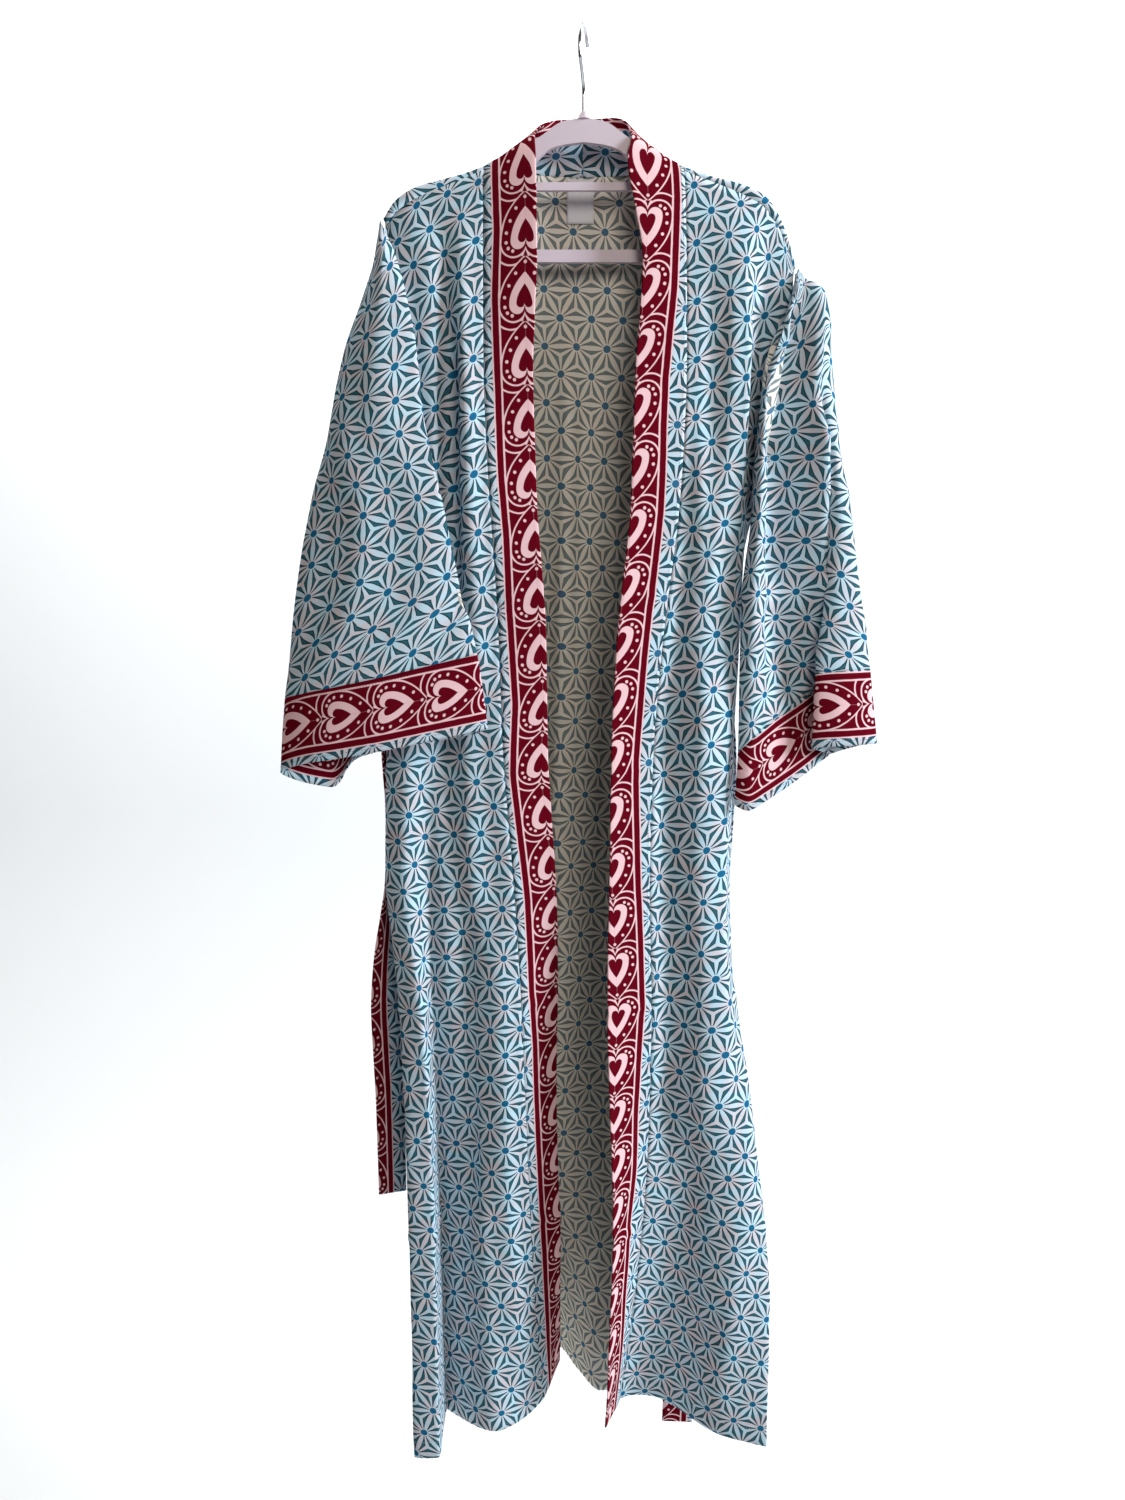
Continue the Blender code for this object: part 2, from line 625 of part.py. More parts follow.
def back_grid(sides):
    """The back's points, from the right side seam to the left, and which of them there are."""
    right, left = sides["right"], sides["left"]
    middle = with_drop(BACK)
    rows_front = {"right": with_drop(FRONT_RIGHT), "left": with_drop(FRONT_LEFT)}
    edges = {name: rows[:, -1].copy() for name, rows in rows_front.items()}
    edges["right"][:2], edges["left"][:2] = np.array(BACK_ARMHOLE).transpose(1, 0, 2)
    sections = np.concatenate(
        [
            rows_front["right"][:, -2:-1],
            edges["right"][:, None],
            middle,
            edges["left"][:, None],
            rows_front["left"][:, -2:-1],
        ],
        axis=1,
    )
    knots = spacing(sections)
    neck_right, neck_left = knots[4], knots[7]
    places = np.concatenate(
        [
            (neck_right + right.share * (knots[1] - neck_right))[::-1][:-1],
            fine(knots[4:8], (5, 2, 5))[:-1],
            neck_left + left.share * (knots[-2] - neck_left),
        ]
    )
    body = across(sections, knots, places)
    first = len(right.share) - 1
    last = len(places) - len(left.share)
    over = np.zeros((5, len(places), 3))
    over[:, : first + 1] = shoulder(right.shoulders, right.share[::-1])
    over[:, last:] = shoulder(left.shoulders, left.share)
    neck = np.concatenate([right.neck_points()[3:], left.neck_points()[3:-1][::-1]])
    over[:4, first : last + 1] = neck
    over[4, first + 1 : last] = neck[1:-1] + (0, 0.1, 0.9)
    over[:3, first] = right.neck_points()[:3]
    over[:3, last] = left.neck_points()[:3]
    rows = np.concatenate([OVER_KNOTS[:4], fine(np.array([13.0, 20.0]), 2)[:-1], fine(np.array(BODY_KNOTS), BODY_ROWS)])
    grid = down(np.concatenate([over, body]), (*OVER_KNOTS, *BODY_KNOTS), rows)
    seam_from = len(rows) - BODY_ROWS * (len(BODY_KNOTS) - 3) - 1
    count = len(rows) - seam_from
    grid[seam_from:, 0] = right.grid[-count:, -1]
    grid[seam_from:, -1] = left.grid[-count:, -1]
    kept = np.ones(grid.shape[:2], bool)
    kept[:3, first + 1 : last] = False
    return grid, kept, first, last


def make_back(full, kept, first, last, parts):
    grid = full.copy()
    drawn_in(grid, np.s_[:, 0], np.s_[:, 1], SEAM_GAP / 2)
    drawn_in(grid, np.s_[:, -1], np.s_[:, -2], SEAM_GAP / 2)
    drawn_in(grid, np.s_[0, : first + 1], np.s_[1, : first + 1], SEAM_GAP / 2)
    drawn_in(grid, np.s_[0, last:], np.s_[1, last:], SEAM_GAP / 2)
    drawn_in(grid, np.s_[3, first + 1 : last], np.s_[4, first + 1 : last], NECK_GAP)
    drawn_in(grid, np.s_[:4, first], np.s_[:4, first - 1], NECK_GAP)
    drawn_in(grid, np.s_[:4, last], np.s_[:4, last + 1], NECK_GAP)
    cloth("back", grid, CLOTH, "cloth", parts, kept)


def along(line, drops):
    """The x and y of a line at some drops."""
    order = np.argsort(line[:, 2])
    line = line[order]
    return np.stack([np.interp(drops, line[:, 2], line[:, 0]), np.interp(drops, line[:, 2], line[:, 1])], axis=1)


def make_sleeve(name, table, each, front_line, back_line, parts):
    """A sleeve and its cuff, lofted down the arm, with the armhole edge set just outside the body's own."""
    sections = with_drop(table)
    knots = spacing(sections)
    places = fine(knots, each)
    sections = across(sections, knots, places)
    fall = spacing(sections.transpose(1, 0, 2))
    rows = fine(fall, (3, 2, 2, 2, 2, 3, 3))
    grid = down(sections, fall, rows)
    mirror = -1 if name == "right" else 1
    for column, line, (out, to_back) in ((0, front_line, ARMHOLE_FRONT), (-1, back_line, ARMHOLE_BACK)):
        edge = grid[:, column]
        joined = edge[:, 2] <= UNDERARM
        edge[joined, :2] = along(line, edge[joined, 2]) + (out * mirror, to_back)
    drawn_in(grid, np.s_[:, 0], np.s_[:, 1], SEAM_GAP / 2)
    drawn_in(grid, np.s_[:, -1], np.s_[:, -2], SEAM_GAP / 2)
    if name == "left":
        grid = grid[:, ::-1]
    upper, lower = grid[:-3].copy(), grid[-4:].copy()
    drawn_in(upper, np.s_[-1, :], np.s_[-2, :], CUFF_GAP)
    drawn_in(lower, np.s_[0, :], np.s_[1, :], CUFF_GAP)
    cloth(f"sleeve_{name}", upper, CLOTH, "cloth", parts)
    cloth(f"cuff_{name}", lower, CUFF_CLOTH, "band", parts)


def edges_of(rows):
    """The two edges of a strip, from rows of its middle point and the way to one edge."""
    middles = np.array([row[0] for row in rows], float)
    ways = np.array([row[1] for row in rows], float)
    ways /= np.linalg.norm(ways, axis=1)[:, None]
    return np.stack([middles - ways * BELT_WIDTH / 2, middles + ways * BELT_WIDTH / 2], axis=1)


def turned_down(start, forward):
    """The belt's quarter turn beyond its loop, from level to hanging, as rows of a middle and a way."""
    rows = []
    for angle in np.radians([0, 30, 60, 90]):
        ahead = TURN_AHEAD + TURN_RADIUS * math.sin(angle)
        fall = TURN_RADIUS * (1 - math.cos(angle))
        middle = (start[0] + forward[0] * ahead, start[1] + forward[1] * ahead, start[2] + fall)
        way = (-forward[0] * math.sin(angle), -forward[1] * math.sin(angle), math.cos(angle))
        rows.append((middle, way))
    return rows


def hanging_end(table, forward, stretch):
    """One end of the belt from its tip to the back stretch, whose first two places it takes up."""
    turn = turned_down(stretch[0].mean(axis=0), forward)
    sections = np.concatenate([edges_of([*table.values(), *turn[::-1]]), stretch[:2]])
    knots = spacing(sections.transpose(1, 0, 2))
    return down(sections, knots, fine(knots[:-1], 2))[:-1]


def outward(grid):
    """The unit normals of the back's grid, pointing out of the robe."""
    normal = np.cross(np.gradient(grid, axis=0), np.gradient(grid, axis=1))
    return normal / np.linalg.norm(normal, axis=2)[..., None]


def make_belt(full, parts):
    """The belt. Between its loops it lies on the back's own points, moved out from them."""
    body = full[5:]
    lines = body + outward(body) * ((CLOTH + BELT_CLOTH) / 2 + BELT_CLEAR)
    drops = body[:, body.shape[1] // 2, 2]
    edges = []
    for drop in (BELT_MIDDLE - BELT_WIDTH / 2, BELT_MIDDLE + BELT_WIDTH / 2):
        low = int(np.searchsorted(drops, drop))
        share = (drop - drops[low - 1]) / (drops[low] - drops[low - 1])
        edges.append(lines[low - 1] * (1 - share) + lines[low] * share)
    stretch = np.stack(edges, axis=1)
    right = hanging_end(BELT_RIGHT_END, RIGHT_FORWARD, stretch)
    left = hanging_end(BELT_LEFT_END, LEFT_FORWARD, stretch[::-1])[::-1]
    strip = np.concatenate([right, stretch, left])
    grid = np.stack([strip[:, 0], strip.mean(axis=1), strip[:, 1]], axis=1)
    cloth("belt", grid, BELT_CLOTH, "band", parts)


def make_loops(sides, parts):
    """The two narrow loops, which stand off the side seams round the belt."""
    for name, forward in (("right", RIGHT_FORWARD), ("left", LEFT_FORWARD)):
        seam = sides[name].grid[:, -1]
        turn = 1 if name == "left" else -1
        off = np.array((-forward[1], forward[0])) * turn
        line = smooth_line(LOOP_LINE, 1)
        rows = []
        for stand, drop in line:
            x, y = along(seam, np.array([drop]))[0] + off * (stand - LOOP_NEARER[name])
            half = np.array(forward) * LOOP_WIDTH / 2
            rows.append([(x - half[0], y - half[1], drop), (x + half[0], y + half[1], drop)])
        cloth(f"belt_loop_{name}", np.array(rows), LOOP_CLOTH, "cloth", parts)


def make_label(full, first, last, parts):
    """The label on the inside of the back, hanging from the neck seam, on the back's own points moved in."""
    neck = full[3:9, first : last + 1]
    rows = []
    for drop in np.linspace(LABEL_DROP, LABEL_DROP + LABEL_SIZE[1], 5):
        row = []
        for x in np.linspace(-LABEL_SIZE[0] / 2, LABEL_SIZE[0] / 2, 4) + LABEL_MIDDLE:
            read = [[np.interp(x, line[:, 0], line[:, k]) for k in (1, 2)] for line in neck]
            depth, fall = np.array(read).T
            row.append((x, np.interp(drop, fall, depth) - LABEL_OFF, drop))
        rows.append(row)
    cloth("neck_label", np.array(rows), LABEL_CLOTH, "label", parts)


def make_hanger(parts):
    line = bpy.data.curves.new("hanger", "CURVE")
    line.dimensions = "2D"
    line.fill_mode = "BOTH"
    line.extrude = HANGER_THICKNESS / 2 * CM
    upper = smooth_line(UPPER_WINDOW, 2)
    lower = smooth_line(LOWER_WINDOW, 2)
    for half in (smooth_line(HANGER_EDGE, 3), upper, lower):
        points = np.concatenate([half * (-1, 1), half[::-1][: -1 if half[0, 0] == 0 else None]])
        spline = line.splines.new("POLY")
        spline.points.add(len(points) - 1)
        for point, (x, drop) in zip(spline.points, points):
            point.co = (x * CM, -drop * CM, 0, 1)
        spline.use_cyclic_u = True
    made = add("hanger", line, "moulding", parts)
    made.rotation_euler = (math.pi / 2, 0, 0)


def smooth_line(points, each):
    points = np.array(points, float)
    knots = np.concatenate([[0], np.cumsum(np.hypot(*np.diff(points, axis=0).T))])
    return eased(fine(knots, each), knots, points)


def make_hook(parts):
    radius = HOOK_RADIUS + WIRE / 2
    turn = np.radians(HOOK_TURNS)
    arc = np.stack([radius * np.cos(turn), HOOK_RADIUS - radius * np.sin(turn)], axis=1)
    stem = smooth_line((*HOOK_LINE, tuple(arc[0])), 3)
    points = np.concatenate([stem[:-1], arc])
    line = bpy.data.curves.new("hook", "CURVE")
    line.dimensions = "3D"
    line.bevel_depth = WIRE / 2 * CM
    line.bevel_resolution = 2
    line.use_fill_caps = True
    spline = line.splines.new("POLY")
    spline.points.add(len(points) - 1)
    for point, (out, drop) in zip(spline.points, points):
        point.co = (out * math.sin(HOOK_TURN) * CM, out * math.cos(HOOK_TURN) * CM, -drop * CM, 1)
    add("hook", line, "wire", parts)


def main():
    for old in list(bpy.data.objects):
        bpy.data.objects.remove(old)
    parts = collection("kimono_robe")
    behind = with_drop(BACK)
    sides = {
        "right": Side(with_drop(FRONT_RIGHT), SHOULDER_RIGHT, NECK_RIGHT, behind[:, 0], 3),
        "left": Side(with_drop(FRONT_LEFT), SHOULDER_LEFT, NECK_LEFT, behind[:, -1], 3),
    }
    make_fronts(sides, parts)
    make_bands(sides, parts)
    full, kept, first, last = back_grid(sides)
    make_back(full, kept, first, last, parts)
    make_sleeve("right", SLEEVE_RIGHT, 3, sides["right"].grid[:, -1], full[3:, 0], parts)
    make_sleeve("left", SLEEVE_LEFT, 2, sides["left"].grid[:, -1], full[3:, -1], parts)
    make_belt(full, parts)
    make_loops(sides, parts)
    make_label(full, first, last, parts)
    make_hanger(parts)
    make_hook(parts)


main()
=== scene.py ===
"""The looks of an open, full-length kimono robe of block-printed cotton on a slim moulded hanger.

"right" and "left" in a name are the wearer's, so the right front has negative X. The tables hold
centimetres: x, y and the drop below the origin, which is the inside top of the hook. They and the
functions that join them are the solids' own, so each shell of cloth lies in its solid.
"""

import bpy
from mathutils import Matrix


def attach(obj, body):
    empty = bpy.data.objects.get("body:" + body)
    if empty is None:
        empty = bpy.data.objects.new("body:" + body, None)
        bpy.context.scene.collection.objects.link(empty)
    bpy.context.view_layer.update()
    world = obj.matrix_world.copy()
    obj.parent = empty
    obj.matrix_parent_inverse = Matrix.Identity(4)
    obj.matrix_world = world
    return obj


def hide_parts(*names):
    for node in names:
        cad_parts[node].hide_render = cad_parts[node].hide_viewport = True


bl_info = {
    "name": "Kimono robe",
    "version": (1, 0, 0),
    "blender": (4, 5, 0),
    "location": "View3D > Sidebar > Kimono robe",
    "description": "Makes a printed cotton kimono robe on its hanger, over the frame's solids",
    "category": "Object",
}

import functools
import math

import bmesh
import bpy
import numpy as np
from bpy.props import FloatProperty, FloatVectorProperty, PointerProperty
from mathutils import Matrix, Vector, noise

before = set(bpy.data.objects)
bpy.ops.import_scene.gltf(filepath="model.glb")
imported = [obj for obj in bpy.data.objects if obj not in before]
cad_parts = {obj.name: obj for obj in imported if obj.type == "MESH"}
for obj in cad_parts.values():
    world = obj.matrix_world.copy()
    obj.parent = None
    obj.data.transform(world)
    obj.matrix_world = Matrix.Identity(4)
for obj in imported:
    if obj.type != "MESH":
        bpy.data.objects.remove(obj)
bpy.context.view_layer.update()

CM = 0.01

# Sizes in centimetres that the shells share with the solids
CLOTH = 0.14
BELT_CLOTH = 0.2
BELT_WIDTH = 3.6
LOOP_WIDTH = 0.7
LABEL_SIZE = (2.5, 3.9)
WIRE = 0.32
HOOK_RADIUS = 2.2
HOOK_TURN = math.radians(10)
HANGER_THICKNESS = 0.6
BOSS_DROPS = (6.95, 7.62)
BOSS_RADII = (0.62, 0.24)

# The main print, as shares of the lattice's height: the petals' half width, the leaves' reach and their outline,
# the radius of the pale round at a flower's centre and of the dot in it, and how soft their edges are
PETAL = 0.092
LEAF = 0.25
OUTLINE = 0.03
HALO_RADIUS = 0.17
CENTRE_RADIUS = 0.135
LEAF_SOFT = 0.008
OUTLINE_SOFT = 0.012
ROUND_SOFT = 0.006
# A step so sharp that it only chooses, and the share of the ink that each side of the cloth shows
SHARP = 0.001
PRINT_STRENGTH = 0.98
REVERSE_STRENGTH = 0.9
# How far the reverse's ground and ink go over to the reverse's own colour
REVERSE_GROUND = 0.75
REVERSE_INK = 0.14
# How far the prints wander from their drawing: the noise's scale, and the reach in centimetres
PRINT_WANDER = (0.9, 0.12)
BORDER_WANDER = (1.4, 0.05)
# The noise of the ground's warm patches and of worn ink, and where a warm patch starts and how softly
WARM_NOISE = (0.55, 3.0, 0.6)
WARM_EDGE = (0.5, 0.22)
WORN_PRINT = (3.0, 3.0, 0.7)
WORN_BORDER = (2.0, 3.0, 0.7)

# The border, in centimetres: one heart's length, its half width, tip, lobes and curve, and the same of the cream
# ring and the red core in it, each with how far along it lies
BORDER_PITCH = 5.35
HEART_WIDE = 2.25
HEART_TALL = 4.2
LOBE = 1.15
HEART = (HEART_WIDE, HEART_TALL, LOBE, 2.2)
RING, RING_AT = (1.4, 2.85, 0.68, 2.0), 0.1
CORE, CORE_AT = (0.74, 1.6, 0.37, 1.7), 0.35
# The leaves beside the hearts: how far they stand off the lobe, and the sweep's middle and its two radii
LEAVES_OFF = 0.16
SWEEP = (1.35, -0.3, 0.0)
SWEEP_RADII = (1.5, 1.66)
# The dots, the red line, the edge beyond it where the border ends, and how soft its printed edges are
DOTS = ((0.0, 3.75), (0.86, 2.8), (1.44, 1.77), (1.81, 0.78), (1.81, -0.03), (1.6, -0.5), (1.17, -0.72))
DOT_RADIUS = 0.15
RED_LINE = (2.42, 3.0)
BORDER_BEYOND = 0.14
BORDER_SOFT = 0.03
# The share of the ink that the border's red, and the leaves and dots beside it, show
RED_STRENGTH = 0.997
STRIP_STRENGTH = 0.98
STRIP_DOT_STRENGTH = 0.95
# The weave: its threads' pitch in centimetres, and its bump's strength and height in metres
THREAD = 0.08
WEAVE_BUMP = (0.25, 0.0004)

# The shells' own thicknesses in centimetres: one layer of cloth, the band's walls, the folded belt, the cuffs and
# the loops, and the label. BAND_HALF is from the folded band's middle to its walls
SHELL = 0.07
BAND_WALL = 0.05
BELT_SHELL = 0.14
DOUBLE_SHELL = 0.1
LABEL_SHELL = 0.06
BAND_HALF = 0.07
# The longest steps of each shell's grid, across and down, in centimetres
STEPS = {"front": (0.4, 0.6), "back": (0.5, 0.6), "band": (0.4, 0.5), "belt": (0.4, 0.5), "sleeve": (0.35, 0.5)}
# Which edges of a piece are sewn: left, right, top, hem
OPEN_HEM = (True, True, True, False)
ALL_SEWN = (True, True, True, True)
# Where in the noise each piece reads its unevenness
SEEDS = {"front_right": 1.7, "front_left": 4.1, "back": 9.4, "sleeve_right": 12.3, "sleeve_left": 15.9, "band": 21.0}

# Where the print lies on each piece: how far its rows rise to the viewer's right, in degrees, and its shift
# drop: rise, x, y
PRINT_ROWS = {
    "front_right": {
        15: (18, 2.06, 4.2),
        27: (20, 2.44, 4.2),
        39: (22, 2.81, 4.4),
        51: (16, 2.81, 4.4),
        63: (8, 2.81, 4.6),
        81: (4, 2.81, 4.8),
        93: (2, 3.19, 5.2),
        105: (6, 3.75, 5.2),
        123: (0, 3.75, 5.2),
        135: (0, 3.94, 4.8),
    },
    "front_left": {
        15: (12, 0.56, 0.0),
        33: (12, 0.56, 0.2),
        45: (10, 0.0, 0.4),
        57: (10, -0.75, 0.4),
        69: (6, -1.31, 0.4),
        81: (5, -0.94, 0.4),
        93: (-2, -0.38, 0.4),
        105: (-10, 0.38, 0.6),
        117: (-14, 0.38, 1.2),
        135: (-14, -0.38, 1.4),
    },
    "back": {24: (-2, 2.62, 1.6), 54: (-2, 2.62, 1.6), 72: (-8, 2.81, 1.6), 102: (-8, 3.4, 1.8)},
}
# How far from the band's seam the fronts' rows pivot
ROWS_PIVOT = 3.0
# The border's axis from each piece's edge, and where its hearts start, in centimetres
BORDER_AXIS = 4.0
BELT_AXIS = -1.2
BELT_AXIS_REVERSE = 3.7
# The belt is turned over once under its left loop, which mirrors its plan about half this width
BELT_TURNED = 2.52
CUFF_AXIS = 3.0
LOOP_AXIS = 3.1
# The red line's outer edge from the band's seam, and how far the hearts lie along, at lengths down the band
RED_EDGE = {
    "right": (
        (10, 0.75), (16, 1.0), (22, 0.82), (30, 1.0), (38, 0.9), (43, 1.0), (50, 0.82), (59, 1.05), (66, 0.5),
        (70, 0.65), (78, 0.95), (88, 0.9), (94, 1.1), (106, 1.05), (112, 1.15), (124, 1.3), (136, 1.4),
    ),
    "left": (
        (13, 0.5), (21, 0.9), (25, 1.35), (29, 1.7), (33, 1.7), (41, 1.45), (60, 1.35), (65, 1.45), (73, 1.1),
        (79, 0.85), (89, 0.8), (93, 1.05), (101, 1.45), (107, 1.6), (111, 1.9), (114, 2.2), (122, 2.2), (133, 1.8),
    ),
}
HEARTS_ALONG = {
    "right": (
        (14, 18.0), (19, 18.35), (24, 18.6), (29, 18.8), (34, 18.75), (44, 18.95), (54, 18.85), (59, 18.9),
        (64, 18.65), (69, 18.5), (74, 18.25), (79, 18.2), (89, 18.2), (94, 18.3), (99, 18.7),
    ),
    "left": (
        (14, 18.75), (19, 18.7), (24, 18.75), (29, 18.85), (34, 18.85), (44, 18.6), (54, 18.6), (64, 18.5),
        (69, 18.35), (74, 18.1), (79, 18.35), (84, 18.7), (94, 18.9), (100, 19.4), (111, 19.75), (122, 20.2),
    ),
}
# The hearts of the two cuffs: their pitch and how far along they start
CUFF_PITCH = {"right": 5.06, "left": 5.35}
CUFF_START = {"right": 0.34, "left": 2.1}
CUFF_DEEP = 6.9
# The sleeve's column that its print is squared to, as a share of the way round it
SLEEVE_MIDDLE = {"right": 0.3, "left": 0.75}

# Creases: their two ends as the distance from the band's seam and the drop, width and height
FRONT_CREASES = {
    "right": (
        ((3.8, 27.0), (4.5, 51.0), 0.9, -0.7), ((1.4, 30.0), (2.0, 58.0), 1.0, 0.45),
        ((5.9, 34.0), (6.2, 56.0), 0.7, 0.25), ((2.0, 60.0), (2.4, 96.0), 1.0, -0.2),
        ((7.2, 62.0), (8.0, 92.0), 0.8, 0.3), ((5.2, 64.0), (5.6, 90.0), 1.0, -0.45),
        ((4.9, 82.0), (6.6, 112.0), 1.6, -0.8), ((6.6, 104.0), (8.6, 136.0), 1.5, -0.5),
        ((1.9, 84.0), (2.2, 132.0), 1.3, 0.6),
    ),
    "left": (
        ((2.0, 22.0), (2.4, 42.0), 0.7, -0.2), ((4.2, 24.0), (4.0, 50.0), 0.8, 0.3),
        ((7.0, 22.0), (6.6, 56.0), 0.7, -0.25), ((1.6, 37.0), (4.9, 66.0), 1.8, 0.8),
        ((0.8, 44.0), (1.0, 74.0), 1.1, -0.5), ((4.6, 58.0), (5.7, 104.0), 2.1, 1.1),
        ((1.2, 70.0), (1.6, 108.0), 1.2, -0.6), ((8.4, 62.0), (9.8, 102.0), 1.5, -0.35),
        ((5.7, 98.0), (7.6, 126.0), 2.3, 0.6), ((10.4, 96.0), (11.4, 138.0), 1.4, 0.3),
    ),
}
SLEEVE_CREASES = {
    "right": (
        ((3.9, -6.6), (-3.1, -6.4), 0.3, 0.14), ((8.2, -30.0), (9.2, -3.0), 1.5, -0.3),
        ((1.6, -30.0), (-1.4, -3.0), 1.6, 0.3), ((-3.4, -24.0), (-5.0, -2.0), 0.9, -0.25),
        ((5.2, -28.0), (5.6, -3.0), 1.2, 0.2),
    ),
    "left": (
        ((-6.6, -39.0), (-9.5, -27.5), 1.5, -1.2), ((-9.9, -27.0), (-14.8, -12.5), 1.6, -1.2),
        ((-15.4, -10.5), (-18.2, 0.0), 1.6, -0.8), ((-2.4, -36.0), (-5.6, -23.0), 1.5, 1.2),
        ((-5.4, -25.0), (-10.6, -9.0), 1.6, 1.7), ((-10.4, -11.0), (-13.2, 0.0), 1.6, 1.0),
        ((-2.6, -18.0), (-4.4, -2.0), 1.0, 0.3),
    ),
}
# On the back the heights are away from the opening, so its ridges there are below zero
BACK_CREASES = (
    ((-1.9, 26.0), (-3.1, 78.0), 0.8, -0.7), ((3.4, 30.0), (3.6, 70.0), 1.0, -0.4),
    ((-2.8, 74.0), (-2.2, 120.0), 1.4, -0.5), ((1.4, 78.0), (0.9, 124.0), 1.3, 0.5),
    ((-9.0, 74.0), (-9.6, 132.0), 2.0, 0.8), ((9.0, 74.0), (10.4, 130.0), 1.8, 0.7),
    ((-6.0, 70.0), (-6.4, 128.0), 1.2, -0.5), ((5.6, 70.0), (6.6, 126.0), 1.1, -0.5),
    ((-8.6, 27.0), (-9.4, 53.0), 1.5, 0.6), ((8.4, 28.0), (9.2, 52.0), 1.4, 0.6),
    ((-5.8, 30.0), (-6.2, 55.0), 0.9, -0.35),
)
# Where the robe was folded flat in store: the drop of each soft line, and its height
STORAGE_CREASES = ((50.2, 0.12), (67.0, 0.1), (91.0, 0.14), (115.6, 0.14))

# The cloth's unevenness in centimetres: its swells' and its ripples' width and height, the ripples' share of the
# rise, and how near a sewn edge it dies away
SWELLS = (3.2, 9.0)
RIPPLES = (1.1, 4.0)
RIPPLES_SHARE = 0.4
SEWN_MARGIN = 1.2

# How rough the cotton is, and how much it reflects, against Blender's usual half
CLOTH_ROUGH = 0.88
CLOTH_SHINE = 0.01

# How much further along a band a place is than its drop
BAND_AHEAD = 1.5
# How far the opening's edge of each band is rolled back, in centimetres
BAND_ROLLED = {"right": 1.2, "left": 0.3}
# Where down the band the roll starts and the way over which it grows, and where it ends and the way it wanes
ROLL_STARTS = (22.0, 14.0)
ROLL_ENDS = (118.0, 20.0)

# Stitching, in centimetres: one stitch's pitch and length, and the thread's half thickness
STITCH_PITCH = 0.3
STITCH_LENGTH = 0.2
STITCH_HALF = 0.022
STITCH_OFF = 0.006
STITCH_INPUTS = (
    ("Geometry", "NodeSocketGeometry"), ("Pitch", "NodeSocketFloat"), ("Length", "NodeSocketFloat"),
    ("Half width", "NodeSocketFloat"), ("Seed", "NodeSocketInt"), ("Material", "NodeSocketMaterial"),
)
STITCH_VARIES = {"Min": 0.88, "Max": 1.1}
# The rows of cloth between the hem and its stitches
HEM_ROWS = 4

# The studio: name, place, aim and size in metres, power in watts and tint
LIGHTS = (
    ("window", (3.0, -1.35, 0.5), (0.0, 0.0, -0.7), (0.9, 1.4), 148.0, (0.8, 0.92, 1.0)),
    ("front_fill", (0.5, -1.9, 0.4), (0.0, 0.0, -0.4), (0.7, 0.7), 14.0, (1.0, 0.93, 0.84)),
    ("backdrop", (0.0, 0.7, 2.0), (0.0, 2.6, -0.2), (4.0, 1.2), 150.0, (1.0, 1.0, 1.0)),
)
WORLD_LIGHT = 0.05
WORLD_TINT = (1.0, 0.97, 0.9)
# The floor and the backdrop are one sheet: its level, near edge, far side, half width, top and the bend's radius
FLOOR_LEVEL = -2.1
FLOOR_NEAR = -1.8
BACKDROP = 2.6
FLOOR_HALF = 4.0
BACKDROP_TOP = 2.5
BEND = 0.8
# The camera: its lens and sensor in millimetres, its place in metres and how far it looks down, in degrees
LENS = 28.8
SENSOR = 36.0
CAMERA_PLACE = (-0.0192, -1.166, -0.452)
CAMERA_DOWN = 9.85


# The sections of the body, each at one drop below the origin, from the band's folded edge to the side seam.
# drop: fold, seam, flat, crease, roll, side, side_seam
FRONT_RIGHT = {
    20: ((-4.3, -2.9), (-9.1, -2.0), (-11.0, -2.3), (-12.8, -1.5), (-14.3, -2.0), (-15.9, -1.7), (-17.5, -0.9)),
    30: ((-4.8, -3.6), (-9.1, -2.8), (-10.8, -3.2), (-12.5, -1.4), (-13.9, -2.1), (-15.3, -1.7), (-16.7, -1.2)),
    42: ((-4.6, -4.0), (-8.6, -3.2), (-10.5, -3.3), (-12.5, -1.6), (-14.0, -2.2), (-15.6, -1.5), (-16.6, -0.1)),
    52: ((-3.9, -4.2), (-8.0, -3.2), (-10.6, -3.0), (-12.9, -1.6), (-14.8, -2.2), (-16.6, -1.2), (-17.0, 1.6)),
    65: ((-3.6, -3.8), (-7.6, -3.2), (-11.0, -3.0), (-14.3, -1.6), (-16.8, -2.6), (-19.0, -1.2), (-18.2, 3.1)),
    78: ((-2.8, -3.4), (-6.7, -3.0), (-10.8, -3.0), (-14.9, -1.4), (-17.4, -3.0), (-19.5, -1.2), (-18.4, 3.0)),
    92: ((-2.2, -1.6), (-6.0, -2.6), (-10.2, -2.8), (-15.1, -0.6), (-16.0, -3.4), (-18.3, -2.2), (-17.6, 2.4)),
    108: ((-2.2, -0.4), (-5.5, -2.0), (-10.0, -2.4), (-14.9, 0.8), (-15.3, -3.4), (-17.8, -3.0), (-17.0, 1.8)),
    125: ((-2.2, 2.4), (-4.9, -0.2), (-9.8, -1.8), (-14.8, 1.6), (-15.1, -3.8), (-17.7, -3.4), (-16.9, 1.8)),
    "hem": (
        (-2.3, 6.4, 137.2), (-4.1, 2.6, 139.2), (-9.2, -1.0, 140.2), (-14.8, 2.4, 140.2), (-15.0, -3.9, 141.0),
        (-17.7, -3.5, 141.3), (-16.9, 1.8, 141.4),
    ),
}
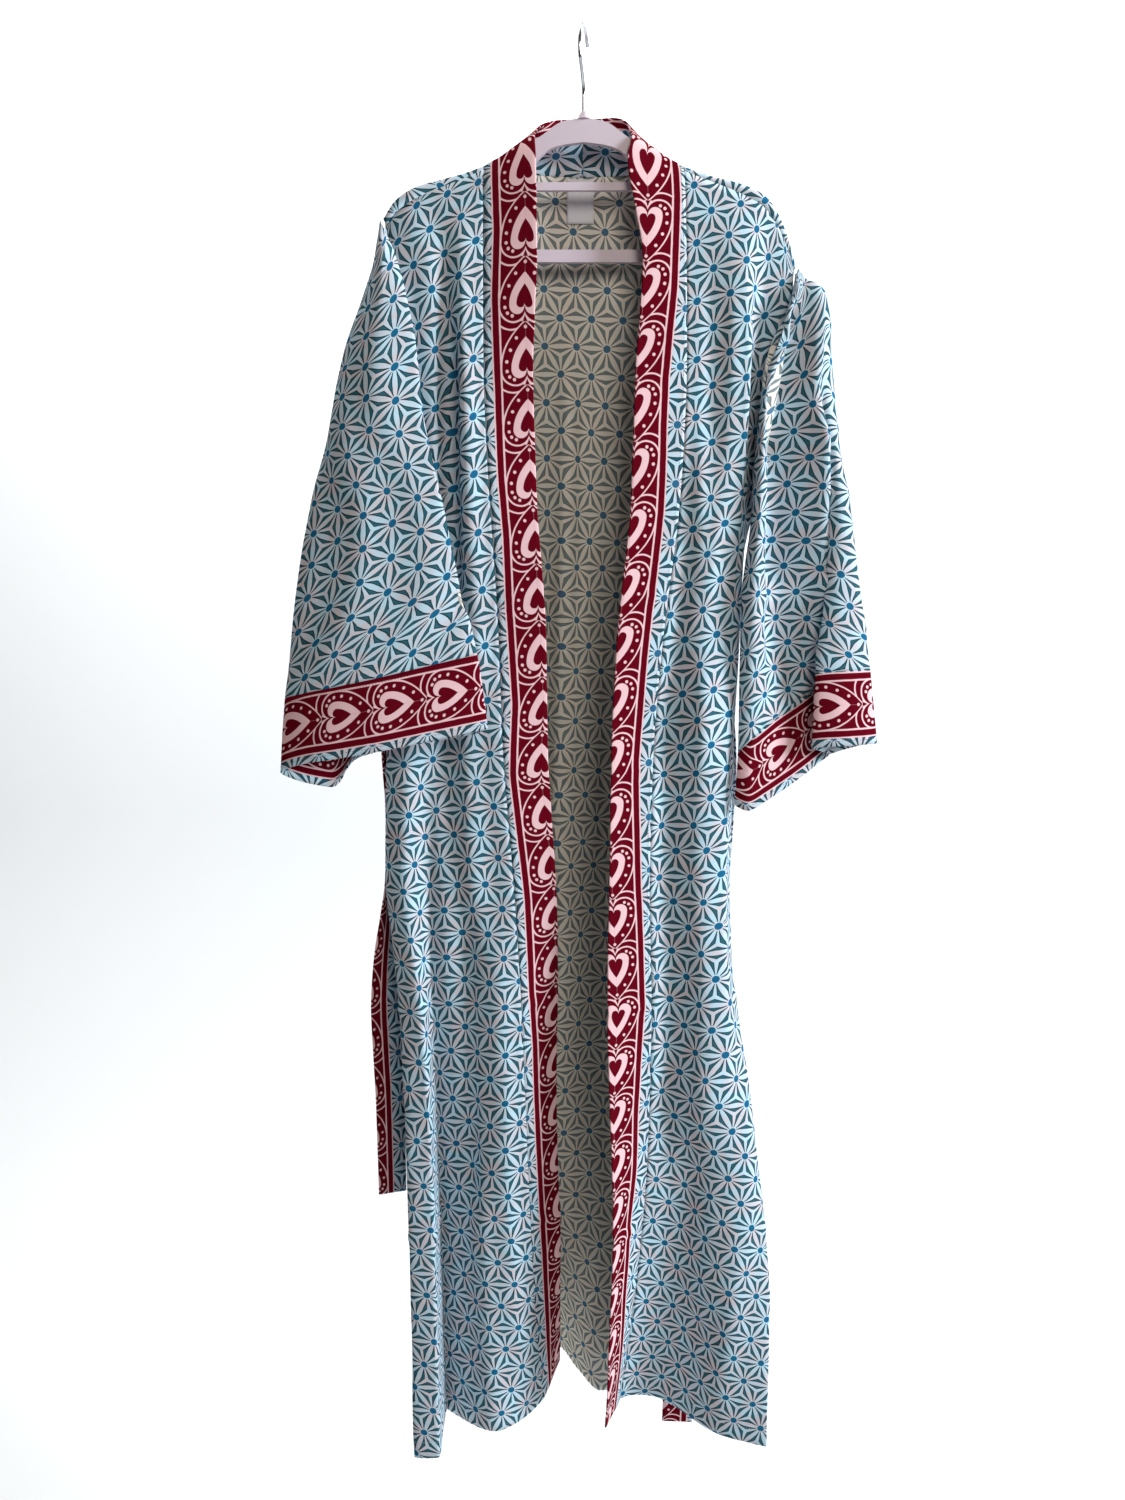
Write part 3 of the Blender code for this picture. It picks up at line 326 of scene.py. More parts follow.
# drop: fold, seam, flat, ridge, side, side_seam
FRONT_LEFT = {
    20: ((5.4, -2.6), (9.3, -2.0), (11.8, -2.2), (14.5, -2.6, 20.2), (16.7, -0.9, 20.8), (19.2, -0.9, 22.6)),
    30: ((4.8, -3.6), (9.4, -2.8), (12.0, -2.8), (15.0, -3.3), (16.2, -1.0), (18.2, -1.2)),
    42: ((4.5, -4.2), (8.9, -3.2), (11.8, -3.0), (14.5, -3.4), (15.5, -1.0), (16.4, 0.4)),
    52: ((3.5, -4.4), (7.8, -3.2), (11.0, -2.9), (14.0, -3.2), (15.1, -0.7), (14.2, 3.2)),
    65: ((2.9, -4.6), (6.8, -3.2), (10.4, -2.7), (13.8, -3.0), (15.0, -0.2), (12.9, 5.3)),
    78: ((2.8, -4.6), (6.6, -3.0), (10.4, -2.4), (13.7, -2.8), (15.0, 0.0), (13.0, 5.6)),
    92: ((2.7, -4.8), (7.0, -2.6), (10.8, -2.0), (14.4, -2.8), (16.0, -0.4), (14.0, 5.2)),
    108: ((3.3, -5.0), (6.8, -1.8), (11.0, -1.4), (15.4, -2.8), (18.2, -1.0), (16.4, 4.0)),
    125: ((3.1, -4.4), (5.7, -0.2), (10.2, 0.6), (16.0, -2.2), (20.0, -1.4), (18.6, 2.8)),
    "hem": (
        (2.7, -2.4, 138.6), (4.4, 2.2, 138.8), (8.6, 4.0, 140.0), (15.0, -0.2, 141.2), (20.2, -1.2, 142.0),
        (19.4, 2.8, 142.0),
    ),
}
# The back hangs behind the fronts. Its own edges follow at each end, and the armholes part it from them above.
# drop: side_right, quarter_right, neck_right, inner_fold, centre, neck_left, quarter_left, side_left
BACK = {
    20: (
        (-15.8, 1.5), (-12.6, 2.0), (-8.6, 2.4), (-1.4, 2.8), (2.2, 2.4), (8.8, 2.4), (13.0, 2.0), (17.2, 1.4, 21.0),
    ),
    30: ((-15.0, 2.7), (-11.8, 2.5), (-7.6, 3.6), (-1.4, 2.4), (2.4, 3.6), (8.2, 3.0), (12.2, 3.2), (16.2, 2.6)),
    42: ((-16.2, 3.4), (-12.0, 3.2), (-7.2, 4.8), (-1.5, 2.8), (2.4, 4.6), (7.6, 3.8), (12.0, 4.6), (15.4, 3.4)),
    52: ((-17.4, 4.4), (-12.8, 4.2), (-7.0, 5.8), (-1.6, 3.4), (2.4, 5.4), (6.8, 4.6), (10.4, 6.0), (12.9, 5.8)),
    65: ((-18.0, 5.8), (-13.4, 5.6), (-7.2, 6.8), (-1.9, 4.2), (2.6, 6.4), (6.6, 5.4), (9.6, 7.4), (11.8, 7.4)),
    78: ((-18.4, 6.0), (-13.6, 6.2), (-7.4, 7.6), (-2.4, 5.0), (2.6, 7.2), (6.8, 6.2), (10.0, 8.0), (12.6, 7.6)),
    92: ((-18.6, 5.4), (-13.4, 6.8), (-7.4, 8.6), (-2.6, 5.8), (2.8, 8.0), (7.2, 6.8), (11.0, 8.6), (14.6, 7.6)),
    108: ((-18.4, 5.6), (-13.4, 7.6), (-7.4, 9.6), (-2.6, 7.2), (2.8, 8.2), (7.6, 7.4), (12.2, 9.4), (17.2, 6.8)),
    125: ((-18.4, 5.8), (-13.4, 8.4), (-7.4, 11.0), (-2.5, 9.6), (2.4, 6.8), (8.0, 8.2), (13.4, 10.0), (19.2, 6.8)),
    "hem": (
        (-18.4, 5.8, 141.4), (-13.4, 8.8, 141.2), (-7.4, 12.4, 140.6), (-2.4, 11.8, 139.4), (2.2, 5.8, 140.6),
        (8.0, 9.0, 141.0), (13.8, 10.4, 141.4), (19.6, 6.8, 141.8),
    ),
}
# The back's edges at the armholes, at the first two sections: x, y, drop on the right and on the left
BACK_ARMHOLE = (((-17.5, 1.0, 20.0), (19.2, 0.9, 22.6)), ((-16.8, 2.0, 30.0), (18.2, 1.7, 30.0)))

# The shoulders: the ridge over the hanger and the seam just in front of it, from the neck to the tip
# place: ridge_x, ridge_drop, seam_x, seam_y, seam_drop
SHOULDER_RIGHT = {
    "neck": (-8.90, 11.55, -9.00, -0.66, 12.05),
    "inner": (-11.0, 12.25, -11.3, -0.66, 12.95),
    "middle": (-13.2, 12.80, -13.4, -0.70, 13.75),
    "outer": (-15.4, 13.42, -15.5, -0.70, 14.65),
    "end": (-17.2, 14.60, -17.0, -0.66, 15.65),
    "tip": (-18.25, 16.10, -18.0, -0.55, 16.75),
}
SHOULDER_LEFT = {
    "neck": (8.90, 11.60, 9.05, -0.66, 12.15),
    "inner": (11.6, 12.45, 11.7, -0.66, 13.10),
    "middle": (14.4, 13.12, 14.3, -0.70, 14.10),
    "outer": (16.6, 14.20, 16.4, -0.70, 15.25),
    "end": (18.4, 17.00, 18.2, -0.66, 17.80),
    "tip": (19.5, 20.30, 19.3, -0.55, 20.70),
}
RIDGE_HALF = 0.5
RIDGE_FALL = 0.13

# The band from the centre back round the neck: fold x, y, drop and seam x, y, drop.
# Over the shoulder its seam takes the shoulder's own corner.
NECK_RIGHT = {
    "centre": ((0.0, 3.5, 6.6), (0.0, 2.7, 11.8)),
    "nape": ((-2.4, 3.0, 6.8), (-3.8, 2.3, 11.75)),
    "side": ((-3.9, 1.7, 7.6), (-7.2, 1.5, 11.6)),
    "behind": (-4.4, 0.6, 8.5),
    "over": (-4.5, -0.5, 9.2),
    "front": (-4.4, -1.4, 11.0),
}
NECK_LEFT = {
    "centre": ((0.0, 3.5, 6.6), (0.0, 2.7, 11.8)),
    "nape": ((2.6, 3.0, 6.6), (3.8, 2.3, 11.75)),
    "side": ((3.9, 1.7, 7.3), (7.2, 1.5, 11.65)),
    "behind": (4.3, 0.6, 8.4),
    "over": (4.4, -0.5, 9.2),
    "front": (4.0, -1.4, 11.2),
}
NECK_KNOTS = (0.0, 3.8, 7.6, 9.4, 10.6, 12.6)
NECK_STEPS = (2, 2, 2, 2, 1)

# The sleeves hang nearly flat. Their first and last places are the armhole seam, and the underarm seam below it.
# drop: front_seam, under, inner_edge, front, outer_edge, back_low, back, back_seam
SLEEVE_RIGHT = {
    "top": (
        (-18.1, -0.90, 17.2), (-18.25, -0.95, 17.0), (-18.4, -0.86, 16.7), (-18.52, -0.55, 16.4), (-18.6, 0.0, 16.25),
        (-18.52, 0.55, 16.45), (-18.45, 0.78, 16.8), (-18.4, 0.84, 17.2),
    ),
    20: (
        (-17.8, -1.2), (-17.7, -1.9), (-16.9, -2.5), (-18.0, -3.2), (-19.2, -0.7), (-18.9, 0.8), (-18.4, 1.3),
        (-17.8, 1.1),
    ),
    27: (
        (-17.1, -1.6), (-16.8, -2.8), (-15.2, -4.1), (-18.2, -4.6), (-21.6, -1.8), (-20.2, 0.8), (-18.6, 1.9),
        (-17.2, 1.9),
    ),
    34: (
        (-16.8, -1.7), (-16.4, -3.4), (-14.4, -5.0), (-18.6, -5.4), (-23.5, -2.4), (-21.2, 0.6), (-18.8, 2.2),
        (-17.0, 2.2),
    ),
    42: (
        (-16.9, -0.4), (-16.5, -3.0), (-12.8, -5.8), (-18.9, -5.8), (-25.3, -3.0), (-22.6, 0.0), (-19.6, 1.3),
        (-17.0, 0.2),
    ),
    49: (
        (-16.4, -3.0), (-15.4, -4.4), (-11.3, -5.9), (-19.0, -6.4), (-26.6, -3.8), (-23.2, -1.6), (-19.6, -1.5),
        (-16.5, -2.9),
    ),
    "cuff": (
        (-11.2, -4.5, 56.2), (-10.7, -5.4, 55.8), (-9.8, -6.4, 55.4), (-18.8, -7.3, 57.5), (-27.9, -5.0, 59.7),
        (-23.6, -3.6, 60.0), (-19.0, -4.2, 58.4), (-11.3, -4.4, 56.3),
    ),
    "hem": (
        (-10.0, -4.9, 63.0), (-9.5, -5.7, 62.7), (-8.9, -6.5, 62.3), (-18.4, -7.6, 64.2), (-28.5, -5.4, 66.7),
        (-24.0, -3.8, 68.4), (-21.6, -4.4, 65.6), (-10.1, -4.8, 63.1),
    ),
}
# drop: front_seam, under, roll_inner, roll_front, roll_outer, valley, panel, deep, turn, flap_edge, flap,
# outer_edge, back_outer, back, back_seam
SLEEVE_LEFT = {
    "top": (
        (19.4, -0.90, 21.1), (19.5, -0.92, 21.0), (19.57, -0.90, 20.9), (19.63, -0.86, 20.82), (19.68, -0.80, 20.74),
        (19.72, -0.70, 20.66), (19.76, -0.58, 20.58), (19.79, -0.44, 20.52), (19.81, -0.30, 20.47),
        (19.83, -0.15, 20.44), (19.84, 0.0, 20.42), (19.83, 0.25, 20.46), (19.8, 0.55, 20.6), (19.76, 0.76, 20.9),
        (19.7, 0.84, 21.2),
    ),
    24: (
        (19.2, -1.1), (19.0, -1.7), (18.7, -2.1), (18.8, -2.6), (19.1, -2.75), (19.5, -2.7), (20.0, -2.5),
        (20.4, -2.3), (20.75, -2.1), (21.1, -1.8), (21.6, -1.3), (22.1, -0.4), (21.4, 0.6), (20.3, 1.2), (19.3, 1.3),
    ),
    31: (
        (18.2, -1.5), (17.8, -2.3), (16.4, -2.8), (16.8, -3.7), (17.4, -3.1), (18.0, -2.3), (20.0, -2.0),
        (21.5, -1.85), (21.9, -1.9), (22.2, -1.95), (22.7, -1.7), (23.3, -0.8), (21.7, 0.7), (20.0, 1.5), (18.4, 1.8),
    ),
    38: (
        (17.1, -0.9), (16.8, -2.1), (15.8, -3.0), (16.3, -4.2), (17.2, -3.5), (17.7, -2.3), (20.4, -2.0),
        (22.8, -1.5), (23.4, -1.9), (22.9, -2.6), (23.4, -3.0), (24.1, -1.8), (22.2, 0.4), (19.8, 1.2), (17.3, 1.2),
    ),
    44: (
        (16.9, -0.6), (16.4, -2.1), (15.5, -3.2), (16.1, -4.6), (17.2, -3.7), (17.7, -2.4), (20.6, -2.0),
        (23.0, -1.3), (23.7, -1.9), (22.9, -3.0), (23.8, -3.5), (25.0, -2.4), (22.4, 0.0), (19.6, 0.6), (17.0, -0.4),
    ),
    51: (
        (16.2, -1.8), (15.7, -2.7), (14.8, -3.6), (15.8, -4.8), (17.0, -4.0), (17.7, -2.6), (20.4, -2.2),
        (22.8, -1.2), (23.6, -1.8), (22.6, -3.4), (24.0, -4.0), (26.0, -2.9), (22.6, -0.2), (19.4, 0.0), (16.3, -1.6),
    ),
    "cuff": (
        (15.4, -2.3, 64.2), (15.1, -2.9, 64.6), (14.9, -3.5, 65.0), (16.0, -4.0, 63.8), (17.2, -3.6, 62.6),
        (18.4, -3.0, 61.8), (20.6, -2.4, 60.2), (22.7, -1.3, 59.0), (23.5, -1.9, 58.2), (22.0, -3.8, 57.4),
        (24.2, -4.3, 57.2), (27.2, -3.2, 57.0), (23.0, -0.2, 58.8), (19.4, -0.8, 61.2), (15.5, -2.1, 64.0),
    ),
    "hem": (
        (15.6, -2.2, 70.2), (15.1, -2.7, 70.1), (14.7, -3.3, 70.2), (15.9, -3.9, 70.7), (17.4, -3.5, 70.0),
        (19.0, -3.0, 69.1), (21.2, -2.4, 67.7), (23.2, -1.4, 66.4), (23.9, -2.0, 65.6), (21.8, -4.0, 64.6),
        (24.4, -4.6, 64.3), (28.2, -3.2, 64.2), (23.6, -0.2, 66.2), (19.6, -0.8, 68.6), (15.7, -2.0, 70.0),
    ),
}
UNDERARM = 42.0
# How far the sleeve's seam stands from the body's: outwards, and towards the front or the back
ARMHOLE_FRONT = (0.06, -0.27)
ARMHOLE_BACK = (0.16, 0.06)

# The hanging ends of the belt, from the tip up to the turn into its loop.
# place: x, y, drop, and the way from its middle to the edge that is lower along the back
BELT_RIGHT_END = {
    "tip": ((-20.1, 2.0, 113.9), (0.7, 0.67, 0.25)),
    "low": ((-20.1, 2.0, 103.0), (0.72, 0.69, 0.0)),
    "kink": ((-20.3, 1.9, 93.0), (0.74, 0.67, 0.0)),
    "middle": ((-20.0, 2.2, 86.5), (0.6, 0.8, 0.0)),
    "upper": ((-19.6, 2.2, 79.0), (0.1, 0.99, 0.0)),
    "high": ((-19.4, 1.2, 70.5), (0.0, 1.0, 0.0)),
}
BELT_LEFT_END = {
    "tip": ((11.9, 12.4, 149.9), (-1.0, 0.05, 0.0)),
    "low": ((12.0, 11.5, 140.0), (-1.0, 0.05, 0.0)),
    "middle": ((12.4, 10.9, 125.0), (-1.0, 0.05, 0.0)),
    "upper": ((13.1, 10.2, 108.0), (-1.0, 0.08, 0.0)),
    "high": ((13.6, 9.2, 93.0), (-0.96, 0.28, 0.0)),
    "side": ((14.3, 7.0, 80.0), (-0.76, 0.65, 0.0)),
    "turn": ((14.7, 4.3, 70.5), (-0.5, 0.87, 0.0)),
}
BELT_MIDDLE = 62.0
BELT_CLEAR = 0.12
TURN_RADIUS = 2.1
TURN_AHEAD = 0.5
RIGHT_FORWARD = (-0.3, -0.95)
LEFT_FORWARD = (0.42, -0.91)
# A loop's line: how far it stands off the seam and its drop
LOOP_LINE = ((0.28, 59.2), (0.34, 59.6), (0.66, 60.0), (0.68, 62.0), (0.66, 64.0), (0.34, 64.4), (0.28, 64.8))
# How much nearer the whole loop stands than that, which lets it meet the seam
LOOP_NEARER = {"right": 0.0, "left": 0.09}
LABEL_MIDDLE = -0.25
LABEL_DROP = 12.0
LABEL_OFF = 0.2

# The hanger's outer edge and its two windows, one half of each from the middle outwards: x, drop
HANGER_EDGE = (
    (0.0, 7.5), (2.0, 7.9), (3.9, 9.1), (6.5, 10.5), (8.6, 11.85), (12.2, 12.9), (15.4, 13.72), (16.9, 14.85),
    (17.6, 15.85), (17.9, 17.1), (17.4, 18.6), (15.9, 19.9),
)
UPPER_WINDOW = ((0.0, 9.6), (1.7, 9.8), (3.1, 10.2), (4.3, 11.2), (5.6, 12.2), (7.1, 13.0))
LOWER_WINDOW = ((9.6, 13.7), (12.5, 14.3), (15.0, 15.0), (16.1, 16.0), (16.3, 17.3), (15.2, 18.8))
# How far the moulding's edges are rounded
HANGER_ROUNDING = 0.09
# The hook from the hanger up: distance along its own plane and drop
HOOK_LINE = ((0.0, 7.47), (0.0, 5.6), (-0.5, 4.6), (-1.6, 3.6))
# Where its bend starts and ends, in degrees
HOOK_TURNS = (205, 35)

# Knots of the rows down the body, which are near their drops, and how many rows fill each step
BODY_KNOTS = (20.0, 30.0, 42.0, 52.0, 65.0, 78.0, 92.0, 108.0, 125.0, 141.0)
OVER_KNOTS = (10.1, 10.8, 11.4, 12.0, 13.0)
BODY_ROWS = 2


def eased(at, knots, values):
    """Smooth curves through rows of values at the knots, which never pass beyond the values."""
    values = np.asarray(values, float)
    gap = np.diff(knots)
    slope = np.diff(values, axis=0) / gap[:, None]
    tangent = np.zeros_like(values)
    tangent[0], tangent[-1] = slope[0], slope[-1]
    before, after = slope[:-1], slope[1:]
    near = (2 * gap[1:] + gap[:-1])[:, None]
    far = (gap[1:] + 2 * gap[:-1])[:, None]
    turns = before * after <= 0
    safe = np.where(turns, 1.0, before * after)
    tangent[1:-1] = np.where(turns, 0.0, (near + far) * safe / (near * after + far * before + turns))
    i = np.clip(np.searchsorted(knots, at, side="right") - 1, 0, len(gap) - 1)
    t = ((at - knots[i]) / gap[i])[:, None]
    step = gap[i][:, None]
    return (
        values[i] * (1 + 2 * t) * (1 - t) ** 2
        + tangent[i] * step * t * (1 - t) ** 2
        + values[i + 1] * t**2 * (3 - 2 * t)
        + tangent[i + 1] * step * t**2 * (t - 1)
    )


def spacing(sections):
    """A knot for each place along the sections, from the mean distance between neighbours."""
    apart = np.linalg.norm(np.diff(np.asarray(sections, float), axis=1), axis=2).mean(axis=0)
    return np.concatenate([[0], np.cumsum(apart)])


def fine(knots, each):
    """Places from the first knot to the last, with each interval cut into that many steps."""
    if isinstance(each, int):
        each = [each] * (len(knots) - 1)
    steps = [np.linspace(a, b, n, endpoint=False) for a, b, n in zip(knots[:-1], knots[1:], each)]
    return np.concatenate([*steps, knots[-1:]])


def across(sections, knots, places):
    """Each section read at the same places along it."""
    return np.array([eased(places, knots, s) for s in sections])


def down(sections, knots, rows):
    """The sections, which stand at the knots, joined by smooth lines and read at the rows."""
    count, wide, _ = sections.shape
    return eased(rows, np.asarray(knots, float), sections.reshape(count, wide * 3)).reshape(-1, wide, 3)


def with_drop(table):
    """The table's sections as points x, y, drop."""
    return np.array([[p if len(p) == 3 else (*p, drop) for p in row] for drop, row in table.items()], float)


def shoulder(table, share):
    """The lines over one shoulder, at shares of the way from the neck to the tip."""
    rows = np.array(list(table.values()))
    knots = np.concatenate([[0], np.cumsum(np.hypot(*np.diff(rows[:, :2], axis=0).T))])
    ridge_x, ridge, seam_x, seam_y, seam = eased(share * knots[-1], knots, rows).T
    none = np.zeros(len(share))
    beside = ((-RIDGE_HALF, RIDGE_FALL), (0, 0), (RIDGE_HALF, RIDGE_FALL), (RIDGE_HALF + 0.14, 1.0))
    over = [(ridge_x, none + y, ridge + fall) for y, fall in beside]
    return np.array([(seam_x, seam_y, seam), *over]).transpose(0, 2, 1)


def neckline(neck, shoulders):
    """The band's fold and seam from the centre back to the front of the shoulder, as rows of two points."""
    ridge_x, ridge, seam_x, seam_y, seam = shoulders["neck"]
    behind, over = ((ridge_x, y, ridge + RIDGE_FALL) for y in (RIDGE_HALF, -RIDGE_HALF))
    shoulder_rows = [(neck["behind"], behind), (neck["over"], over), (neck["front"], (seam_x, seam_y, seam))]
    return np.array([neck["centre"], neck["nape"], neck["side"], *shoulder_rows], float)


class Side:
    """One side of the robe: its front's grid and the rows of its band."""

    def __init__(self, front, shoulders, neck, beyond, each):
        self.shoulders = shoulders
        onward = np.concatenate([front, beyond[:, None]], axis=1)
        knots = spacing(onward)
        places = fine(knots[1:-1], each)
        self.share = (places - places[0]) / (places[-1] - places[0])
        over = shoulder(shoulders, self.share)
        sections = np.concatenate([over[[1, 0]], across(onward, knots, places)])
        rows = np.concatenate([fine(np.array([12.6, 20.0]), 2)[:-1], fine(np.array(BODY_KNOTS), BODY_ROWS)])
        self.grid = down(sections, (11.4, 12.6, *BODY_KNOTS), rows)
        neck_rows = neckline(neck, shoulders)
        strip = np.concatenate([neck_rows, front[:, :2]])
        band_rows = np.concatenate([fine(np.array(NECK_KNOTS), NECK_STEPS)[:-1], rows])
        lines = down(strip, (*NECK_KNOTS, *BODY_KNOTS), band_rows)
        lines[-len(rows) :, 1] = self.grid[:, 0]
        self.neck_count = len(band_rows) - len(rows)
        self.lines = lines

    def neck_points(self):
        """The seam of the band round the neck, from the shoulder's front to the centre back."""
        return self.lines[self.neck_count :: -1, 1]


def back_grid(sides):
    """The back's points, from the right side seam to the left, and which of them there are."""
    right, left = sides["right"], sides["left"]
    front_right, front_left = with_drop(FRONT_RIGHT), with_drop(FRONT_LEFT)
    edge_right, edge_left = front_right[:, -1:].copy(), front_left[:, -1:].copy()
    edge_right[:2, 0], edge_left[:2, 0] = np.array(BACK_ARMHOLE).transpose(1, 0, 2)
    beyond_right, beyond_left = front_right[:, -2:-1], front_left[:, -2:-1]
    sections = np.concatenate([beyond_right, edge_right, with_drop(BACK), edge_left, beyond_left], axis=1)
    knots = spacing(sections)
    neck_right, neck_left = knots[4], knots[7]
    places = np.concatenate(
        [
            (neck_right + right.share * (knots[1] - neck_right))[::-1][:-1],
            fine(knots[4:8], (5, 2, 5))[:-1],
            neck_left + left.share * (knots[-2] - neck_left),
        ]
    )
    body = across(sections, knots, places)
    first = len(right.share) - 1
    last = len(places) - len(left.share)
    over = np.zeros((5, len(places), 3))
    over[:, : first + 1] = shoulder(right.shoulders, right.share[::-1])
    over[:, last:] = shoulder(left.shoulders, left.share)
    neck = np.concatenate([right.neck_points()[3:], left.neck_points()[3:-1][::-1]])
    over[:4, first : last + 1] = neck
    over[4, first + 1 : last] = neck[1:-1] + (0, 0.1, 0.9)
    over[:3, first] = right.neck_points()[:3]
    over[:3, last] = left.neck_points()[:3]
    top_rows = fine(np.array([OVER_KNOTS[-1], BODY_KNOTS[0]]), 2)[:-1]
    rows = np.concatenate([OVER_KNOTS[:-1], top_rows, fine(np.array(BODY_KNOTS), BODY_ROWS)])
    grid = down(np.concatenate([over, body]), (*OVER_KNOTS, *BODY_KNOTS), rows)
    seam_from = len(rows) - BODY_ROWS * (len(BODY_KNOTS) - 3) - 1
    count = len(rows) - seam_from
    grid[seam_from:, 0] = right.grid[-count:, -1]
    grid[seam_from:, -1] = left.grid[-count:, -1]
    kept = np.ones(grid.shape[:2], bool)
    kept[:3, first + 1 : last] = False
    return grid, kept, first, last


def along(line, drops):
    """The x and y of a line at some drops."""
    order = np.argsort(line[:, 2])
    line = line[order]
    return np.stack([np.interp(drops, line[:, 2], line[:, 0]), np.interp(drops, line[:, 2], line[:, 1])], axis=1)


def edges_of(rows):
    """The two edges of a strip, from rows of its middle point and the way to one edge."""
    middles = np.array([row[0] for row in rows], float)
    ways = np.array([row[1] for row in rows], float)
    ways /= np.linalg.norm(ways, axis=1)[:, None]
    return np.stack([middles - ways * BELT_WIDTH / 2, middles + ways * BELT_WIDTH / 2], axis=1)


def turned_down(start, forward):
    """The belt's quarter turn beyond its loop, from level to hanging, as rows of a middle and a way."""
    rows = []
    for angle in np.radians([0, 30, 60, 90]):
        ahead = TURN_AHEAD + TURN_RADIUS * math.sin(angle)
        fall = TURN_RADIUS * (1 - math.cos(angle))
        middle = (start[0] + forward[0] * ahead, start[1] + forward[1] * ahead, start[2] + fall)
        way = (-forward[0] * math.sin(angle), -forward[1] * math.sin(angle), math.cos(angle))
        rows.append((middle, way))
    return rows


def hanging_end(table, forward, stretch):
    """One end of the belt from its tip to the back stretch, whose first two places it takes up."""
    turn = turned_down(stretch[0].mean(axis=0), forward)
    sections = np.concatenate([edges_of([*table.values(), *turn[::-1]]), stretch[:2]])
    knots = spacing(sections.transpose(1, 0, 2))
    return down(sections, knots, fine(knots[:-1], 2))[:-1]


def smooth_line(points, each):
    """A smooth line through points of two numbers, with that many steps between neighbours."""
    points = np.array(points, float)
    knots = np.concatenate([[0], np.cumsum(np.hypot(*np.diff(points, axis=0).T))])
    return eased(fine(knots, each), knots, points)


def refined(grid, step_across, step_down):
    """The same surface with more rows and columns between its own, and how many each interval took."""
    knots = spacing(grid)
    across_each = [max(1, math.ceil(gap / step_across)) for gap in np.diff(knots)]
    grid = across(grid, knots, fine(knots, across_each))
    fall = spacing(grid.transpose(1, 0, 2))
    down_each = [max(1, math.ceil(gap / step_down)) for gap in np.diff(fall)]
    return down(grid, fall, fine(fall, down_each)), across_each, down_each


def arc(grid, axis):
    """How far each point is along its row (axis 1) or down its column (axis 0), in centimetres."""
    step = np.linalg.norm(np.diff(grid, axis=axis), axis=2)
    first = np.zeros_like(step[:1]) if axis == 0 else np.zeros_like(step[:, :1])
    return np.cumsum(np.concatenate([first, step], axis=axis), axis=axis)


def normals(grid):
    """The unit normals of a grid of points x, y, drop."""
    normal = np.cross(np.gradient(grid, axis=0), np.gradient(grid, axis=1))
    return normal / np.maximum(np.linalg.norm(normal, axis=2), 1e-9)[..., None]


def uneven(s, t, seed, wide, tall):
    """Soft hollows and swells over the cloth, from -1 to 1, that are longer down it than across."""
    flat = [noise.noise(Vector((a / wide, b / tall, seed))) for a, b in zip(s.ravel(), t.ravel())]
    return np.array(flat).reshape(s.shape)


def crease(s, t, start, end, wide, high):
    """One soft ridge (high > 0) or trough between two places on the cloth, which fades at its ends."""
    (s0, t0), (s1, t1) = start, end
    length = math.hypot(s1 - s0, t1 - t0)
    along_it = ((s - s0) * (s1 - s0) + (t - t0) * (t1 - t0)) / length**2
    aside = ((s - s0) * (t1 - t0) - (t - t0) * (s1 - s0)) / length
    fade = np.clip(along_it * 5 + 0.5, 0, 1) * np.clip((1 - along_it) * 5 + 0.5, 0, 1)
    return high * fade * np.exp(-((aside / wide) ** 2))


def placed(name, data):
    """A new object in the scene."""
    made = bpy.data.objects.new(name, data)
    bpy.context.scene.collection.objects.link(made)
    return made


def as_mesh(made, name):
    """The shape that an object's curve or modifiers give, as a mesh of its own. The object is removed."""
    mesh = bpy.data.meshes.new_from_object(made.evaluated_get(bpy.context.evaluated_depsgraph_get()))
    bpy.data.objects.remove(made)
    mesh.name = name
    return mesh


def poly_line(curve, points, closed):
    """A line of straight steps on a curve, through points in centimetres."""
    spline = curve.splines.new("POLY")
    spline.points.add(len(points) - 1)
    for point, place in zip(spline.points, points):
        point.co = (*(value * CM for value in place), 1)
    spline.use_cyclic_u = closed


def shell(name, grid, plan, finish, thickness, outward_sign, kept=None, reverse=None):
    """A closed shell of cloth round a grid, with the cloth's own plan as its UV map, in metres."""
    rows, wide, _ = grid.shape
    points = grid * CM
    points[..., 2] *= -1
    index = np.arange(rows * wide).reshape(rows, wide)
    quads = np.stack([index[:-1, :-1], index[:-1, 1:], index[1:, 1:], index[1:, :-1]], axis=-1).reshape(-1, 4)
    if kept is not None:
        quads = quads[kept.ravel()]
    if outward_sign < 0:
        quads = quads[:, ::-1]
    used = np.zeros(rows * wide, bool)
    used[quads.ravel()] = True
    number = np.cumsum(used) - 1
    mesh = bpy.data.meshes.new(name)
    mesh.from_pydata(points.reshape(-1, 3)[used].tolist(), [], number[quads].tolist())
    layer = mesh.uv_layers.new(name="plan")
    flat = (np.stack(plan, axis=-1).reshape(-1, 2) * CM)[quads.ravel()]
    layer.data.foreach_set("uv", flat.astype(np.float32).ravel())
    mesh.shade_smooth()
    made = placed(name, mesh)
    mesh.materials.append(finish)
    mesh.materials.append(reverse or finish)
    wall = made.modifiers.new("Cloth", "SOLIDIFY")
    wall.thickness = thickness * CM
    wall.offset = 0
    wall.material_offset = 1
    wall.use_rim = True
    return made


def settle(piece, node):
    """Puts a finished piece on the robe's one body, in place of its solid."""
    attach(piece, "root")
    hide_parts(node)


